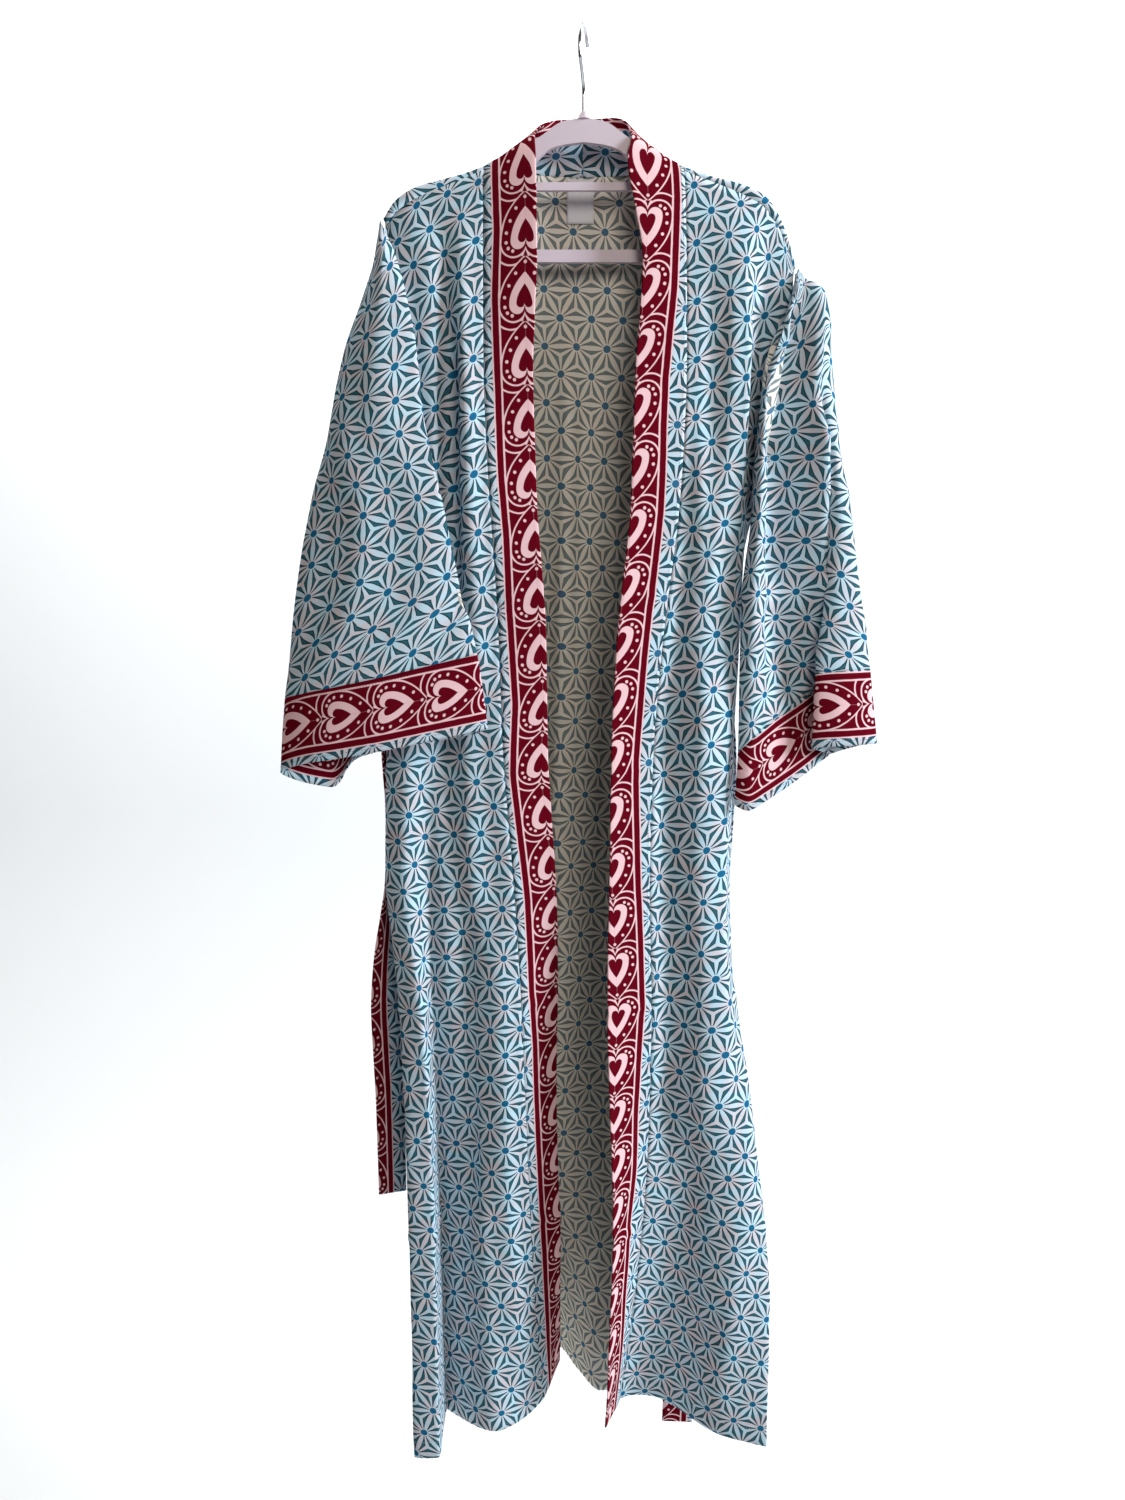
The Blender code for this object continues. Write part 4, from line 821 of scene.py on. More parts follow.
class Value:
    """One number on a material's board, so that sums on it read as Python's own."""

    def __init__(self, board, socket):
        self.board = board
        self.socket = socket

    def __add__(self, other):
        return self.board.maths("ADD", self, other)

    def __radd__(self, other):
        return self.board.maths("ADD", other, self)

    def __sub__(self, other):
        return self.board.maths("SUBTRACT", self, other)

    def __rsub__(self, other):
        return self.board.maths("SUBTRACT", other, self)

    def __mul__(self, other):
        return self.board.maths("MULTIPLY", self, other)

    def __rmul__(self, other):
        return self.board.maths("MULTIPLY", other, self)

    def __truediv__(self, other):
        return self.board.maths("DIVIDE", self, other)

    def __pow__(self, other):
        return self.board.maths("POWER", self, other)

    def __abs__(self):
        return self.board.maths("ABSOLUTE", self)

    def fraction(self):
        return self.board.maths("FRACT", self)

    def least(self, other):
        return self.board.maths("MINIMUM", self, other)

    def most(self, other):
        return self.board.maths("MAXIMUM", self, other)

    def past(self, edge, soft):
        """1 where the number is over the edge and 0 where it is under, with a soft step between."""
        settings = {"operation": "MULTIPLY_ADD", "use_clamp": True}
        return self.board.node("ShaderNodeMath", settings, (self - edge, 1 / soft, 0.5))


class Board:
    """The nodes of one material."""

    def __init__(self, name, rough, metal=0.0, shine=0.5):
        self.material = bpy.data.materials.new(name)
        self.material.use_nodes = True
        self.tree = self.material.node_tree
        self.shader = self.tree.nodes["Principled BSDF"]
        self.set("Roughness", rough)
        self.set("Metallic", metal)
        self.set("Specular IOR Level", shine)

    def node(self, kind, settings, values, output=0):
        """A node of a kind, with its settings made first, then its sockets' values or links in their order."""
        made = self.tree.nodes.new(kind)
        for key, setting in settings.items():
            setattr(made, key, setting)
        places = values.items() if isinstance(values, dict) else enumerate(values)
        for place, value in places:
            self.join(made.inputs[place], value)
        return Value(self, made.outputs[output])

    def join(self, socket, value):
        if isinstance(value, Value):
            self.tree.links.new(value.socket, socket)
        elif socket.type == "RGBA":
            socket.default_value = (*value, 1)
        else:
            socket.default_value = value

    def set(self, socket, value):
        self.join(self.shader.inputs[socket], value)

    def maths(self, operation, *values):
        return self.node("ShaderNodeMath", {"operation": operation}, values)

    def mixed(self, share, first, second):
        """One colour at a share of 0 and the other at 1."""
        return self.node("ShaderNodeMix", {"data_type": "RGBA"}, {0: share, 6: first, 7: second}, 2)

    def plan(self):
        """The cloth's own plan: how far across and down it a place is, in centimetres."""
        uv = self.node("ShaderNodeUVMap", {"uv_map": "plan"}, ())
        split = self.node("ShaderNodeSeparateXYZ", {}, (uv,))
        down_it = Value(self, split.socket.node.outputs[1])
        return split * 100, down_it * 100

    def point(self, x, y, z=0.0):
        return self.node("ShaderNodeCombineXYZ", {}, (x, y, z))

    def cloud(self, at, scale, detail=2.0, rough=0.5):
        """Noise at a place, from 0 to 1."""
        values = {"Vector": at, "Scale": scale, "Detail": detail, "Roughness": rough}
        return self.node("ShaderNodeTexNoise", {}, values)

    def own_place(self):
        """The place in the piece's own axes, in metres."""
        return self.node("ShaderNodeTexCoord", {}, (), 3)

    def mottled(self, at, scale, tint, dark):
        """Colours the material between a tint and a darker share of it, by noise at a place."""
        darker = tuple(value * dark for value in tint)
        self.set("Base Color", self.mixed(self.cloud(at, scale), tint, darker))

    def distance(self, at, other):
        return self.node("ShaderNodeVectorMath", {"operation": "DISTANCE"}, (at, other), 1)

    def bump(self, height, strength, deep):
        values = {"Strength": strength, "Distance": deep, "Height": height}
        self.set("Normal", self.node("ShaderNodeBump", {}, values))


def flower_lattice(across_it, down_it, side):
    """The print's masks: leaf fill, leaf outline and centre dot, on a lattice of triangles.

    Every triangle's corner is a flower. Pale petals lie along the sides, and between them and the
    triangle's middle stands a dark leaf to each side.
    """
    height = side * math.sqrt(3) / 2
    first = down_it / height
    second = across_it * (math.sqrt(3) / 2 / height) - first * 0.5
    third = 0.0 - first - second
    parts = [q.fraction() for q in (first, second, third)]
    over = (parts[0] + parts[1] + parts[2]).past(1.5, SHARP)
    away = [abs(part - over) for part in parts]
    near = away[0].least(away[1]).least(away[2])
    far = away[0].most(away[1]).most(away[2])
    middle = 1.0 - near - far
    along_side = far - middle
    petal = near - (1.0 - along_side * along_side) * PETAL
    leaf = (1.0 - along_side) * LEAF - near
    inside = petal.least(leaf)
    reach = (near * near + middle * middle + near * middle) * (4 / 3)
    halo = reach.past(HALO_RADIUS**2, ROUND_SOFT)
    fill = inside.past(0.0, LEAF_SOFT) * halo
    outline = (1.0 - inside.past(OUTLINE, OUTLINE_SOFT)) * fill
    dot = 1.0 - reach.past(CENTRE_RADIUS**2, ROUND_SOFT)
    return fill, outline, dot


def heart(x, y, wide, tall, lobe, curve):
    """How far inside a heart a place is, with its notch near y = 0, its tip at tall and round lobes."""
    rise = (y.most(0.0) / tall).least(1.0)
    flank = (1.0 - rise**curve) * wide - x
    out = x - (wide - lobe)
    round_part = lobe - x.board.maths("SQRT", out * out + y * y)
    low = (0.0 - y).past(0.0, SHARP)
    return flank * (1.0 - low) + round_part * low


def heart_border(board, beside, along_it):
    """The border's masks: where it is red, and where it is border at all.

    beside is the distance from the border's axis and along_it grows towards the tips, both in centimetres.
    """
    x = abs(beside)
    y = (along_it / BORDER_PITCH).fraction() * BORDER_PITCH - LOBE
    soft = BORDER_SOFT
    field = heart(x, y, *HEART).most((-0.6 - y) * 0.4 - x)
    ring = heart(x, y - RING_AT, *RING)
    core = heart(x, y - CORE_AT, *CORE)
    under = y - y.past(1.5, SHARP) * BORDER_PITCH
    at = board.point(x, under)
    near_lobe = board.distance(at, (HEART_WIDE - LOBE, 0.0, 0.0))
    sweep = board.distance(at, SWEEP)
    cut = sweep.past(SWEEP_RADII[0], soft) * (1.0 - sweep.past(SWEEP_RADII[1], soft))
    leaves = near_lobe.past(LOBE + LEAVES_OFF, soft) * (1.0 - cut)
    leaves = leaves * (1.0 - field.past(-LEAVES_OFF, soft)) * (1.0 - x.past(HEART_WIDE, soft))
    red = field.past(0.0, soft).most(leaves)
    place = board.point(x, y)
    spots = [board.distance(place, (*spot, 0.0)) for spot in DOTS]
    nearest = spots[0]
    for spot in spots[1:]:
        nearest = nearest.least(spot)
    red = red * nearest.past(DOT_RADIUS, soft) * (1.0 - ring.past(0.0, soft))
    red = red.most(core.past(0.0, soft))
    line = x.past(RED_LINE[0], soft) * (1.0 - x.past(RED_LINE[1], soft))
    return red.most(line), 1.0 - x.past(RED_LINE[1] + BORDER_BEYOND, soft)


def weave(board, across_it, down_it):
    """The height of a plain weave with uneven threads, from 0 to 1."""
    slub = board.cloud(board.point(across_it * 0.4, down_it * 6.0), 1.0)
    warp = board.maths("SINE", across_it * (2 * math.pi / THREAD))
    weft = board.maths("SINE", down_it * (2 * math.pi / THREAD))
    return warp * weft * 0.3 + slub * 0.7


def cotton(name, colours, wandering):
    """A cotton's board, its plan and place, how far its print wanders, in centimetres, and its ground."""
    board = Board(name, CLOTH_ROUGH, shine=CLOTH_SHINE)
    u, v = board.plan()
    place = board.point(u, v)
    scale, reach = wandering
    wander = (board.cloud(place, scale) - 0.5) * reach
    warm = board.cloud(place, *WARM_NOISE).past(*WARM_EDGE)
    board.bump(weave(board, u, v), *WEAVE_BUMP)
    return board, u, v, place, wander, board.mixed(warm, colours.ground, colours.ground_warm)


def printed_cotton(name, colours, turned=False, reverse=False):
    """The main print, seen from its right side or, paler, from its reverse. turned runs it up a sleeve."""
    board, u, v, place, wander, ground = cotton(name, colours, PRINT_WANDER)
    x, y = (v, u) if turned else (u, v)
    fill, outline, dot = flower_lattice(x + wander, y + wander, colours.lattice_side * 100)
    worn = board.cloud(place, *WORN_PRINT)
    ink = board.mixed(worn, colours.teal, colours.teal_pale)
    ink = board.mixed(outline, ink, colours.teal_dark)
    if reverse:
        ground = board.mixed(REVERSE_GROUND, ground, colours.reverse)
        ink = board.mixed(REVERSE_INK, ink, colours.reverse)
    strength = REVERSE_STRENGTH if reverse else PRINT_STRENGTH
    face = board.mixed(fill * strength, ground, ink)
    board.set("Base Color", board.mixed(dot * strength, face, colours.dot_blue))
    return board.material


def border_cotton(name, colours, axis, beside_is, tips=1.0, start=0.0, turned=False):
    """The bordered strip of the print. beside_is says which way of the plan leads across the border."""
    board, u, v, place, wander, ground = cotton(name, colours, BORDER_WANDER)
    beside, along_it = (u, v) if beside_is == "across" else (v, u)
    red, border = heart_border(board, beside - axis + wander, along_it * tips + start + wander)
    x, y = (v, u) if turned else (u, v)
    fill, outline, dot = flower_lattice(x, y, colours.lattice_side * 100)
    worn = board.cloud(place, *WORN_BORDER)
    ink = board.mixed(outline, colours.teal, colours.teal_dark)
    strip = board.mixed(fill * STRIP_STRENGTH, ground, ink)
    strip = board.mixed(dot * STRIP_DOT_STRENGTH, strip, colours.dot_blue)
    crimson = board.mixed(worn, colours.crimson, colours.crimson_dark)
    face = board.mixed(red * RED_STRENGTH, colours.cream, crimson)
    board.set("Base Color", board.mixed(border, strip, face))
    return board.material


@functools.cache
def drape():
    """The grids of the body, as the solids have them, in centimetres."""
    behind = with_drop(BACK)
    sides = {
        "right": Side(with_drop(FRONT_RIGHT), SHOULDER_RIGHT, NECK_RIGHT, behind[:, 0], 3),
        "left": Side(with_drop(FRONT_LEFT), SHOULDER_LEFT, NECK_LEFT, behind[:, -1], 3),
    }
    full, kept, first, last = back_grid(sides)
    return {"sides": sides, "back": full, "kept": kept, "first": first, "last": last}


def sleeve_grids(name):
    """A sleeve and its cuff, lofted down the arm, with the armhole edge just outside the body's own."""
    robe = drape()
    table, each = (SLEEVE_RIGHT, 3) if name == "right" else (SLEEVE_LEFT, 2)
    lines = (robe["sides"][name].grid[:, -1], robe["back"][3:, 0 if name == "right" else -1])
    sections = with_drop(table)
    knots = spacing(sections)
    sections = across(sections, knots, fine(knots, each))
    fall = spacing(sections.transpose(1, 0, 2))
    grid = down(sections, fall, fine(fall, (3, 2, 2, 2, 2, 3, 3)))
    mirror = -1 if name == "right" else 1
    for column, line, (out, to_back) in zip((0, -1), lines, (ARMHOLE_FRONT, ARMHOLE_BACK)):
        edge = grid[:, column]
        joined = edge[:, 2] <= UNDERARM
        edge[joined, :2] = along(line, edge[joined, 2]) + (out * mirror, to_back)
    below = grid[:, 0, 2] > UNDERARM + 1
    grid[below, 0] = grid[below, -1] = (grid[below, 0] + grid[below, -1]) / 2
    return grid[:-3], grid[-4:]


def tapered(plan, margin, sides):
    """1 over the cloth's middle, and down to 0 at those of its edges (left, right, top, hem) that are sewn."""
    s, t = plan
    from_start, from_end = s - s[:, :1], s[:, -1:] - s
    from_top, from_hem = t - t[:1], t[-1:] - t
    share = np.ones_like(s)
    for wanted, apart in zip(sides, (from_start, from_end, from_top, from_hem)):
        if wanted:
            share = share * (1 - np.exp(-((np.abs(apart) / margin) ** 2)))
    return share


def folded(grid, plan, creases, seed, sewn, outward_sign, rough=0.12):
    """The grid moved outwards along its normals by its creases and by the cloth's own unevenness."""
    s, t = plan
    high = uneven(s, t, seed, *SWELLS) * rough + uneven(s, t, seed + 7.3, *RIPPLES) * rough * RIPPLES_SHARE
    for start, end, wide, rise in creases:
        high = high + crease(s, t, start, end, wide, rise)
    for drop, rise in STORAGE_CREASES:
        line = t - drop - 0.5 * np.sin(s * 0.35 + drop)
        high = high + rise * np.exp(-((line / 0.45) ** 2))
    return grid + normals(grid) * (high * tapered(plan, SEWN_MARGIN, sewn) * outward_sign)[..., None]


def printed_plan(level, drop, table):
    """The print's own plan on a piece, whose rows rise and shift as its table says."""
    knots = sorted(table)
    degrees, aside, along_it = (np.interp(drop, knots, values) for values in zip(*(table[k] for k in knots)))
    return level + aside, drop + np.tan(np.radians(degrees)) * level + along_it


@functools.cache
def front_cloth(name):
    """One front's folded grid and its places: the distance from the band's seam and the drop."""
    grid, _, _ = refined(drape()["sides"][name].grid, *STEPS["front"])
    place = (arc(grid, 1), grid[..., 2].copy())
    sign = 1 if name == "right" else -1
    return folded(grid, place, FRONT_CREASES[name], SEEDS[f"front_{name}"], OPEN_HEM, sign), place


def make_fronts(colours):
    reverse = printed_cotton("printed_cotton_reverse", colours, reverse=True)
    for name, sign in (("right", 1), ("left", -1)):
        grid, place = front_cloth(name)
        plan = printed_plan((ROWS_PIVOT - place[0]) * sign, place[1], PRINT_ROWS[f"front_{name}"])
        finish = printed_cotton(f"printed_cotton_front_{name}", colours)
        piece = shell(f"front_{name}_cloth", grid, plan, finish, SHELL, sign, reverse=reverse)
        settle(piece, f"front_{name}")


@functools.cache
def back_cloth():
    """The back's folded grid and its places: the distance from the centre and the drop."""
    grid, _, _ = refined(drape()["back"], *STEPS["back"])
    middle = int(np.argmin(np.abs(grid[-1, :, 0])))
    s = arc(grid, 1)
    place = (s - s[:, middle : middle + 1], grid[..., 2].copy())
    level = np.clip((grid[..., 2] - 20) / 12, 0, 1)
    moved = folded(grid, place, BACK_CREASES, SEEDS["back"], OPEN_HEM, 1)
    return grid + (moved - grid) * level[..., None], place


def make_back_cloth(colours):
    grid, place = back_cloth()
    plan = printed_plan(*place, PRINT_ROWS["back"])
    _, across_each, down_each = refined(drape()["back"], *STEPS["back"])
    kept = drape()["kept"]
    cells = kept[:-1, :-1] & kept[1:, :-1] & kept[:-1, 1:] & kept[1:, 1:]
    cells = np.repeat(np.repeat(cells, down_each, axis=0), across_each, axis=1)
    reverse = printed_cotton("printed_cotton_back_reverse", colours, reverse=True)
    finish = printed_cotton("printed_cotton_back", colours)
    piece = shell("back_cloth", grid, plan, finish, SHELL, 1, kept=cells, reverse=reverse)
    settle(piece, "back")


@functools.cache
def band_cloth(name):
    """A band's flat strip and the grid round it. It is folded lengthwise, so its two layers meet at a soft fold."""
    side = drape()["sides"][name]
    share = np.linspace(1, 0, 5)[None, :, None]
    flat = side.lines[:, :1] * (1 - share) + side.lines[:, 1:] * share
    flat, _, _ = refined(flat, *STEPS["band"])
    wide = arc(flat, 1)
    length = np.repeat(length_down(flat), flat.shape[1], axis=1)
    out = -normals(flat) * (1 if name == "right" else -1)
    bent = uneven(wide, length, SEEDS["band"], 3.0, 7.0) * 0.12
    for drop, rise in STORAGE_CREASES:
        bent = bent + rise * 1.4 * np.exp(-(((length - drop + BAND_AHEAD) / 0.5) ** 2))
    bent = bent * np.minimum(1, wide / 1.5)
    grown = np.clip((length - ROLL_STARTS[0]) / ROLL_STARTS[1], 0, 1)
    rolled = grown * np.clip((ROLL_ENDS[0] - length) / ROLL_ENDS[1], 0, 1)
    bent = bent - BAND_ROLLED[name] * rolled * wide / wide[:, -1:]
    flat = flat + out * bent[..., None]
    edge = flat[:, -1] - flat[:, -2]
    edge /= np.linalg.norm(edge, axis=1)[:, None]
    half = BAND_HALF * np.minimum(1, 0.35 + wide / 0.8)[..., None]
    turn = np.radians((30, 60, 90, 120, 150))
    rim = [flat[:, -1] + edge * math.sin(a) * BAND_HALF + out[:, -1] * math.cos(a) * BAND_HALF for a in turn]
    grid = np.concatenate([flat + out * half, np.stack(rim, axis=1), (flat - out * half)[:, ::-1]], axis=1)
    return flat, grid, wide


def make_bands_cloth(colours):
    for name, sign in (("right", 1), ("left", -1)):
        flat, grid, wide = band_cloth(name)
        length = length_down(flat)
        edge_at, along_at = (np.interp(length, *np.array(table[name]).T) for table in (RED_EDGE, HEARTS_ALONG))
        beside = arc(grid, 1) + BORDER_AXIS - RED_LINE[1] - edge_at
        plan = (beside, np.repeat(length - along_at * sign, grid.shape[1], axis=1))
        tips = 1 if name == "left" else -1
        finish = border_cotton(f"border_cotton_{name}", colours, BORDER_AXIS, "across", tips)
        piece = shell(f"band_{name}_cloth", grid, plan, finish, BAND_WALL, -sign)
        settle(piece, f"band_{name}")


def length_down(grid):
    """How far each row is down the middle of a strip, in centimetres, as one column."""
    return arc(grid.mean(axis=1)[:, None], 0)


@functools.cache
def sleeve_cloth(name, part):
    """A sleeve's or a cuff's folded grid and its plan: the way round it and the way down it, as one pair."""
    grid, _, _ = refined(sleeve_grids(name)[part == "cuff"], *STEPS["sleeve"])
    s, t = arc(grid, 1), arc(grid, 0)
    plan = (s - s[:, -1:] * SLEEVE_MIDDLE[name], t - t[-1:] + (0.0 if part == "sleeve" else CUFF_DEEP))
    sign = 1 if name == "right" else -1
    creases, sewn = (SLEEVE_CREASES[name], ALL_SEWN) if part == "sleeve" else ((), OPEN_HEM)
    return folded(grid, plan, creases, SEEDS[f"sleeve_{name}"], sewn, sign, 0.06), plan


def make_sleeves_cloth(colours):
    reverse = printed_cotton("printed_cotton_sleeve_reverse", colours, turned=True, reverse=True)
    for name, sign in (("right", 1), ("left", -1)):
        for part in ("sleeve", "cuff"):
            grid, plan = sleeve_cloth(name, part)
            s, t = plan
            if part == "sleeve":
                finish = printed_cotton(f"printed_cotton_sleeve_{name}", colours, turned=True)
                piece = shell(f"sleeve_{name}_cloth", grid, plan, finish, SHELL, sign, reverse=reverse)
                settle(piece, f"sleeve_{name}")
            else:
                tips = (1 if name == "left" else -1) * BORDER_PITCH / CUFF_PITCH[name]
                finish = border_cotton(
                    f"border_cotton_cuff_{name}", colours, CUFF_AXIS, "down", tips, CUFF_START[name], turned=True
                )
                piece = shell(f"cuff_{name}_cloth", grid, plan, finish, DOUBLE_SHELL, sign)
                settle(piece, f"cuff_{name}")
            length = float((t[-1] - t[0]).mean()) / 100
            width = float((s[:, -1] - s[:, 0]).mean()) / 100


def belt_grid():
    """The belt from its right end, through both loops, to its left end, as rows of three points."""
    full = drape()["back"]
    body = full[5:]
    lines = body + normals(body) * ((CLOTH + BELT_CLOTH) / 2 + BELT_CLEAR)
    drops = body[:, body.shape[1] // 2, 2]
    edges = []
    for drop in (BELT_MIDDLE - BELT_WIDTH / 2, BELT_MIDDLE + BELT_WIDTH / 2):
        low = int(np.searchsorted(drops, drop))
        share = (drop - drops[low - 1]) / (drops[low] - drops[low - 1])
        edges.append(lines[low - 1] * (1 - share) + lines[low] * share)
    stretch = np.stack(edges, axis=1)
    right = hanging_end(BELT_RIGHT_END, RIGHT_FORWARD, stretch)
    left = hanging_end(BELT_LEFT_END, LEFT_FORWARD, stretch[::-1])[::-1]
    strip = np.concatenate([right, stretch, left])
    return np.stack([strip[:, 0], strip.mean(axis=1), strip[:, 1]], axis=1), len(right) + len(stretch)


def make_belt_cloth(colours):
    rough, turn_row = belt_grid()
    grid, _, _ = refined(rough, *STEPS["belt"])
    wide, length = arc(grid, 1), np.repeat(length_down(grid), grid.shape[1], axis=1)
    plan = (np.where(length > length_down(rough)[turn_row], BELT_TURNED - wide, wide), length)
    finish = border_cotton("border_cotton_belt", colours, BELT_AXIS, "across")
    reverse = border_cotton("border_cotton_belt_reverse", colours, BELT_AXIS_REVERSE, "across")
    piece = shell("belt_cloth", grid, plan, finish, BELT_SHELL, 1, reverse=reverse)
    settle(piece, "belt")
    length = round(float(plan[1][-1, 0]) / 100, 3)


def make_loops_cloth(colours):
    for name, forward in (("right", RIGHT_FORWARD), ("left", LEFT_FORWARD)):
        seam = drape()["sides"][name].grid[:, -1]
        turn = 1 if name == "left" else -1
        off = np.array((-forward[1], forward[0])) * turn
        half = np.array(forward) * LOOP_WIDTH / 2
        rows = []
        for stand, drop in smooth_line(LOOP_LINE, 3):
            x, y = along(seam, np.array([drop]))[0] + off * (stand - LOOP_NEARER[name])
            rows.append([(x - half[0] * k, y - half[1] * k, drop) for k in (1, 0, -1)])
        grid = np.array(rows)
        plan = (arc(grid, 1), np.repeat(length_down(grid), 3, axis=1))
        finish = border_cotton(f"border_cotton_loop_{name}", colours, LOOP_AXIS, "across")
        piece = shell(f"belt_loop_{name}_cloth", grid, plan, finish, DOUBLE_SHELL, 1)
        settle(piece, f"belt_loop_{name}")


def make_label_cloth(colours):
    robe = drape()
    neck = robe["back"][3:9, robe["first"] : robe["last"] + 1]
    rows = []
    for drop in np.linspace(LABEL_DROP, LABEL_DROP + LABEL_SIZE[1], 14):
        row = []
        for x in np.linspace(-LABEL_SIZE[0] / 2, LABEL_SIZE[0] / 2, 9) + LABEL_MIDDLE:
            read = [[np.interp(x, line[:, 0], line[:, k]) for k in (1, 2)] for line in neck]
            depth, fall = np.array(read).T
            row.append((x, np.interp(drop, fall, depth) - LABEL_OFF, drop))
        rows.append(row)
    grid = np.array(rows)
    plan = (arc(grid, 1), arc(grid, 0))
    board = Board("label_cotton", 0.75)
    u, v = board.plan()
    board.mottled(board.point(u, v), 3.0, colours.label, 0.9)
    board.bump(weave(board, u, v), 0.3, 0.0003)
    piece = shell("neck_label_cloth", grid, plan, board.material, LABEL_SHELL, -1)
    settle(piece, "neck_label")


def stitch_tree():
    """Lays one thread stitch after another along every line of a mesh."""
    tree = bpy.data.node_groups.new("running_stitch", "GeometryNodeTree")
    for name, kind in STITCH_INPUTS:
        tree.interface.new_socket(name=name, in_out="INPUT", socket_type=kind)
    tree.interface.new_socket(name="Geometry", in_out="OUTPUT", socket_type="NodeSocketGeometry")

    def node(kind, values, settings=None):
        made = tree.nodes.new(kind)
        for key, setting in (settings or {}).items():
            setattr(made, key, setting)
        for place, value in values.items():
            if isinstance(value, bpy.types.NodeSocket):
                tree.links.new(value, made.inputs[place])
            else:
                made.inputs[place].default_value = value
        return made.outputs[0]

    given = tree.nodes.new("NodeGroupInput").outputs
    line = node("GeometryNodeMeshToCurve", {"Mesh": given["Geometry"]})
    line = node("GeometryNodeResampleCurve", {"Curve": line, "Length": given["Pitch"]}, {"mode": "LENGTH"})
    way = node("GeometryNodeInputTangent", {})
    turn = node("FunctionNodeAlignRotationToVector", {"Vector": way}, {"axis": "X"})
    half_length = node("ShaderNodeMath", {0: given["Length"], 1: 0.5}, {"operation": "MULTIPLY"})
    size = node("ShaderNodeCombineXYZ", {"X": half_length, "Y": given["Half width"], "Z": given["Half width"]})
    bead = node("GeometryNodeMeshIcoSphere", {"Radius": 1.0, "Subdivisions": 1})
    bead = node("GeometryNodeTransform", {"Geometry": bead, "Scale": size})
    vary = tree.nodes.new("FunctionNodeRandomValue")
    vary.data_type = "FLOAT"
    for socket in vary.inputs:
        if socket.name in STITCH_VARIES and socket.type == "VALUE":
            socket.default_value = STITCH_VARIES[socket.name]
    tree.links.new(given["Seed"], vary.inputs["Seed"])
    scale = next(out for out in vary.outputs if out.enabled and out.type == "VALUE")
    values = {"Points": line, "Instance": bead, "Rotation": turn, "Scale": scale}
    laid = node("GeometryNodeInstanceOnPoints", values)
    laid = node("GeometryNodeRealizeInstances", {"Geometry": laid})
    laid = node("GeometryNodeSetMaterial", {"Geometry": laid, "Material": given["Material"]})
    tree.links.new(laid, tree.nodes.new("NodeGroupOutput").inputs["Geometry"])
    return tree


def stitched(name, lines, tree, material, seed):
    """A piece of stitches along lines of points x, y, drop."""
    mesh = bpy.data.meshes.new(name + "_lines")
    points, edges = [], []
    for line in lines:
        first = len(points)
        points += [(x * CM, y * CM, -drop * CM) for x, y, drop in line]
        edges += [(k, k + 1) for k in range(first, len(points) - 1)]
    mesh.from_pydata(points, edges, [])
    guide = placed(name + "_lines", mesh)
    sewn = guide.modifiers.new("Stitches", "NODES")
    sewn.node_group = tree
    sizes = (STITCH_PITCH * CM, STITCH_LENGTH * CM, STITCH_HALF * CM, seed, material)
    for (key, _), value in zip(STITCH_INPUTS[1:], sizes):
        sewn[tree.interface.items_tree[key].identifier] = value
    made = as_mesh(guide, name)
    made.shade_smooth()
    piece = placed(name, made)
    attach(piece, "root")


def make_stitching(colours):
    tree = stitch_tree()
    threads = {}
    for name, tint in (("red_thread", colours.thread_red), ("pale_thread", colours.thread_pale)):
        board = Board(name, 0.6, shine=0.3)
        board.mottled(board.own_place(), 300.0, tint, 0.8)
        threads[name] = board.material
    bands, cuffs, hems = [], [], []
    for name, sign in (("right", 1), ("left", -1)):
        flat, _, _ = band_cloth(name)
        out = -normals(flat) * sign
        bands.append(flat[:, 1] + out[:, 1] * (BAND_HALF + STITCH_OFF))
        cuff, _ = sleeve_cloth(name, "cuff")
        out = normals(cuff) * sign
        cuffs += [cuff[row] + out[row] * (DOUBLE_SHELL / 2 + STITCH_OFF) for row in (1, -2)]
        front, _ = front_cloth(name)
        out = normals(front) * sign
        hems.append(front[-HEM_ROWS] + out[-HEM_ROWS] * (SHELL / 2 + STITCH_OFF))
    behind, _ = back_cloth()
    hems.append(behind[-HEM_ROWS] + normals(behind)[-HEM_ROWS] * (SHELL / 2 + STITCH_OFF))
    belt, _, _ = refined(belt_grid()[0], *STEPS["belt"])
    out = normals(belt)
    off = BELT_SHELL / 2 + STITCH_OFF
    edges = [belt[:, k] + out[:, k] * side * off for k in (1, -2) for side in (1, -1)]
    red, pale = threads["red_thread"], threads["pale_thread"]
    stitched("band_stitching", bands, tree, red, 3)
    stitched("cuff_stitching", cuffs, tree, red, 5)
    stitched("belt_stitching", edges, tree, red, 7)
    stitched("hem_stitching", hems, tree, pale, 9)


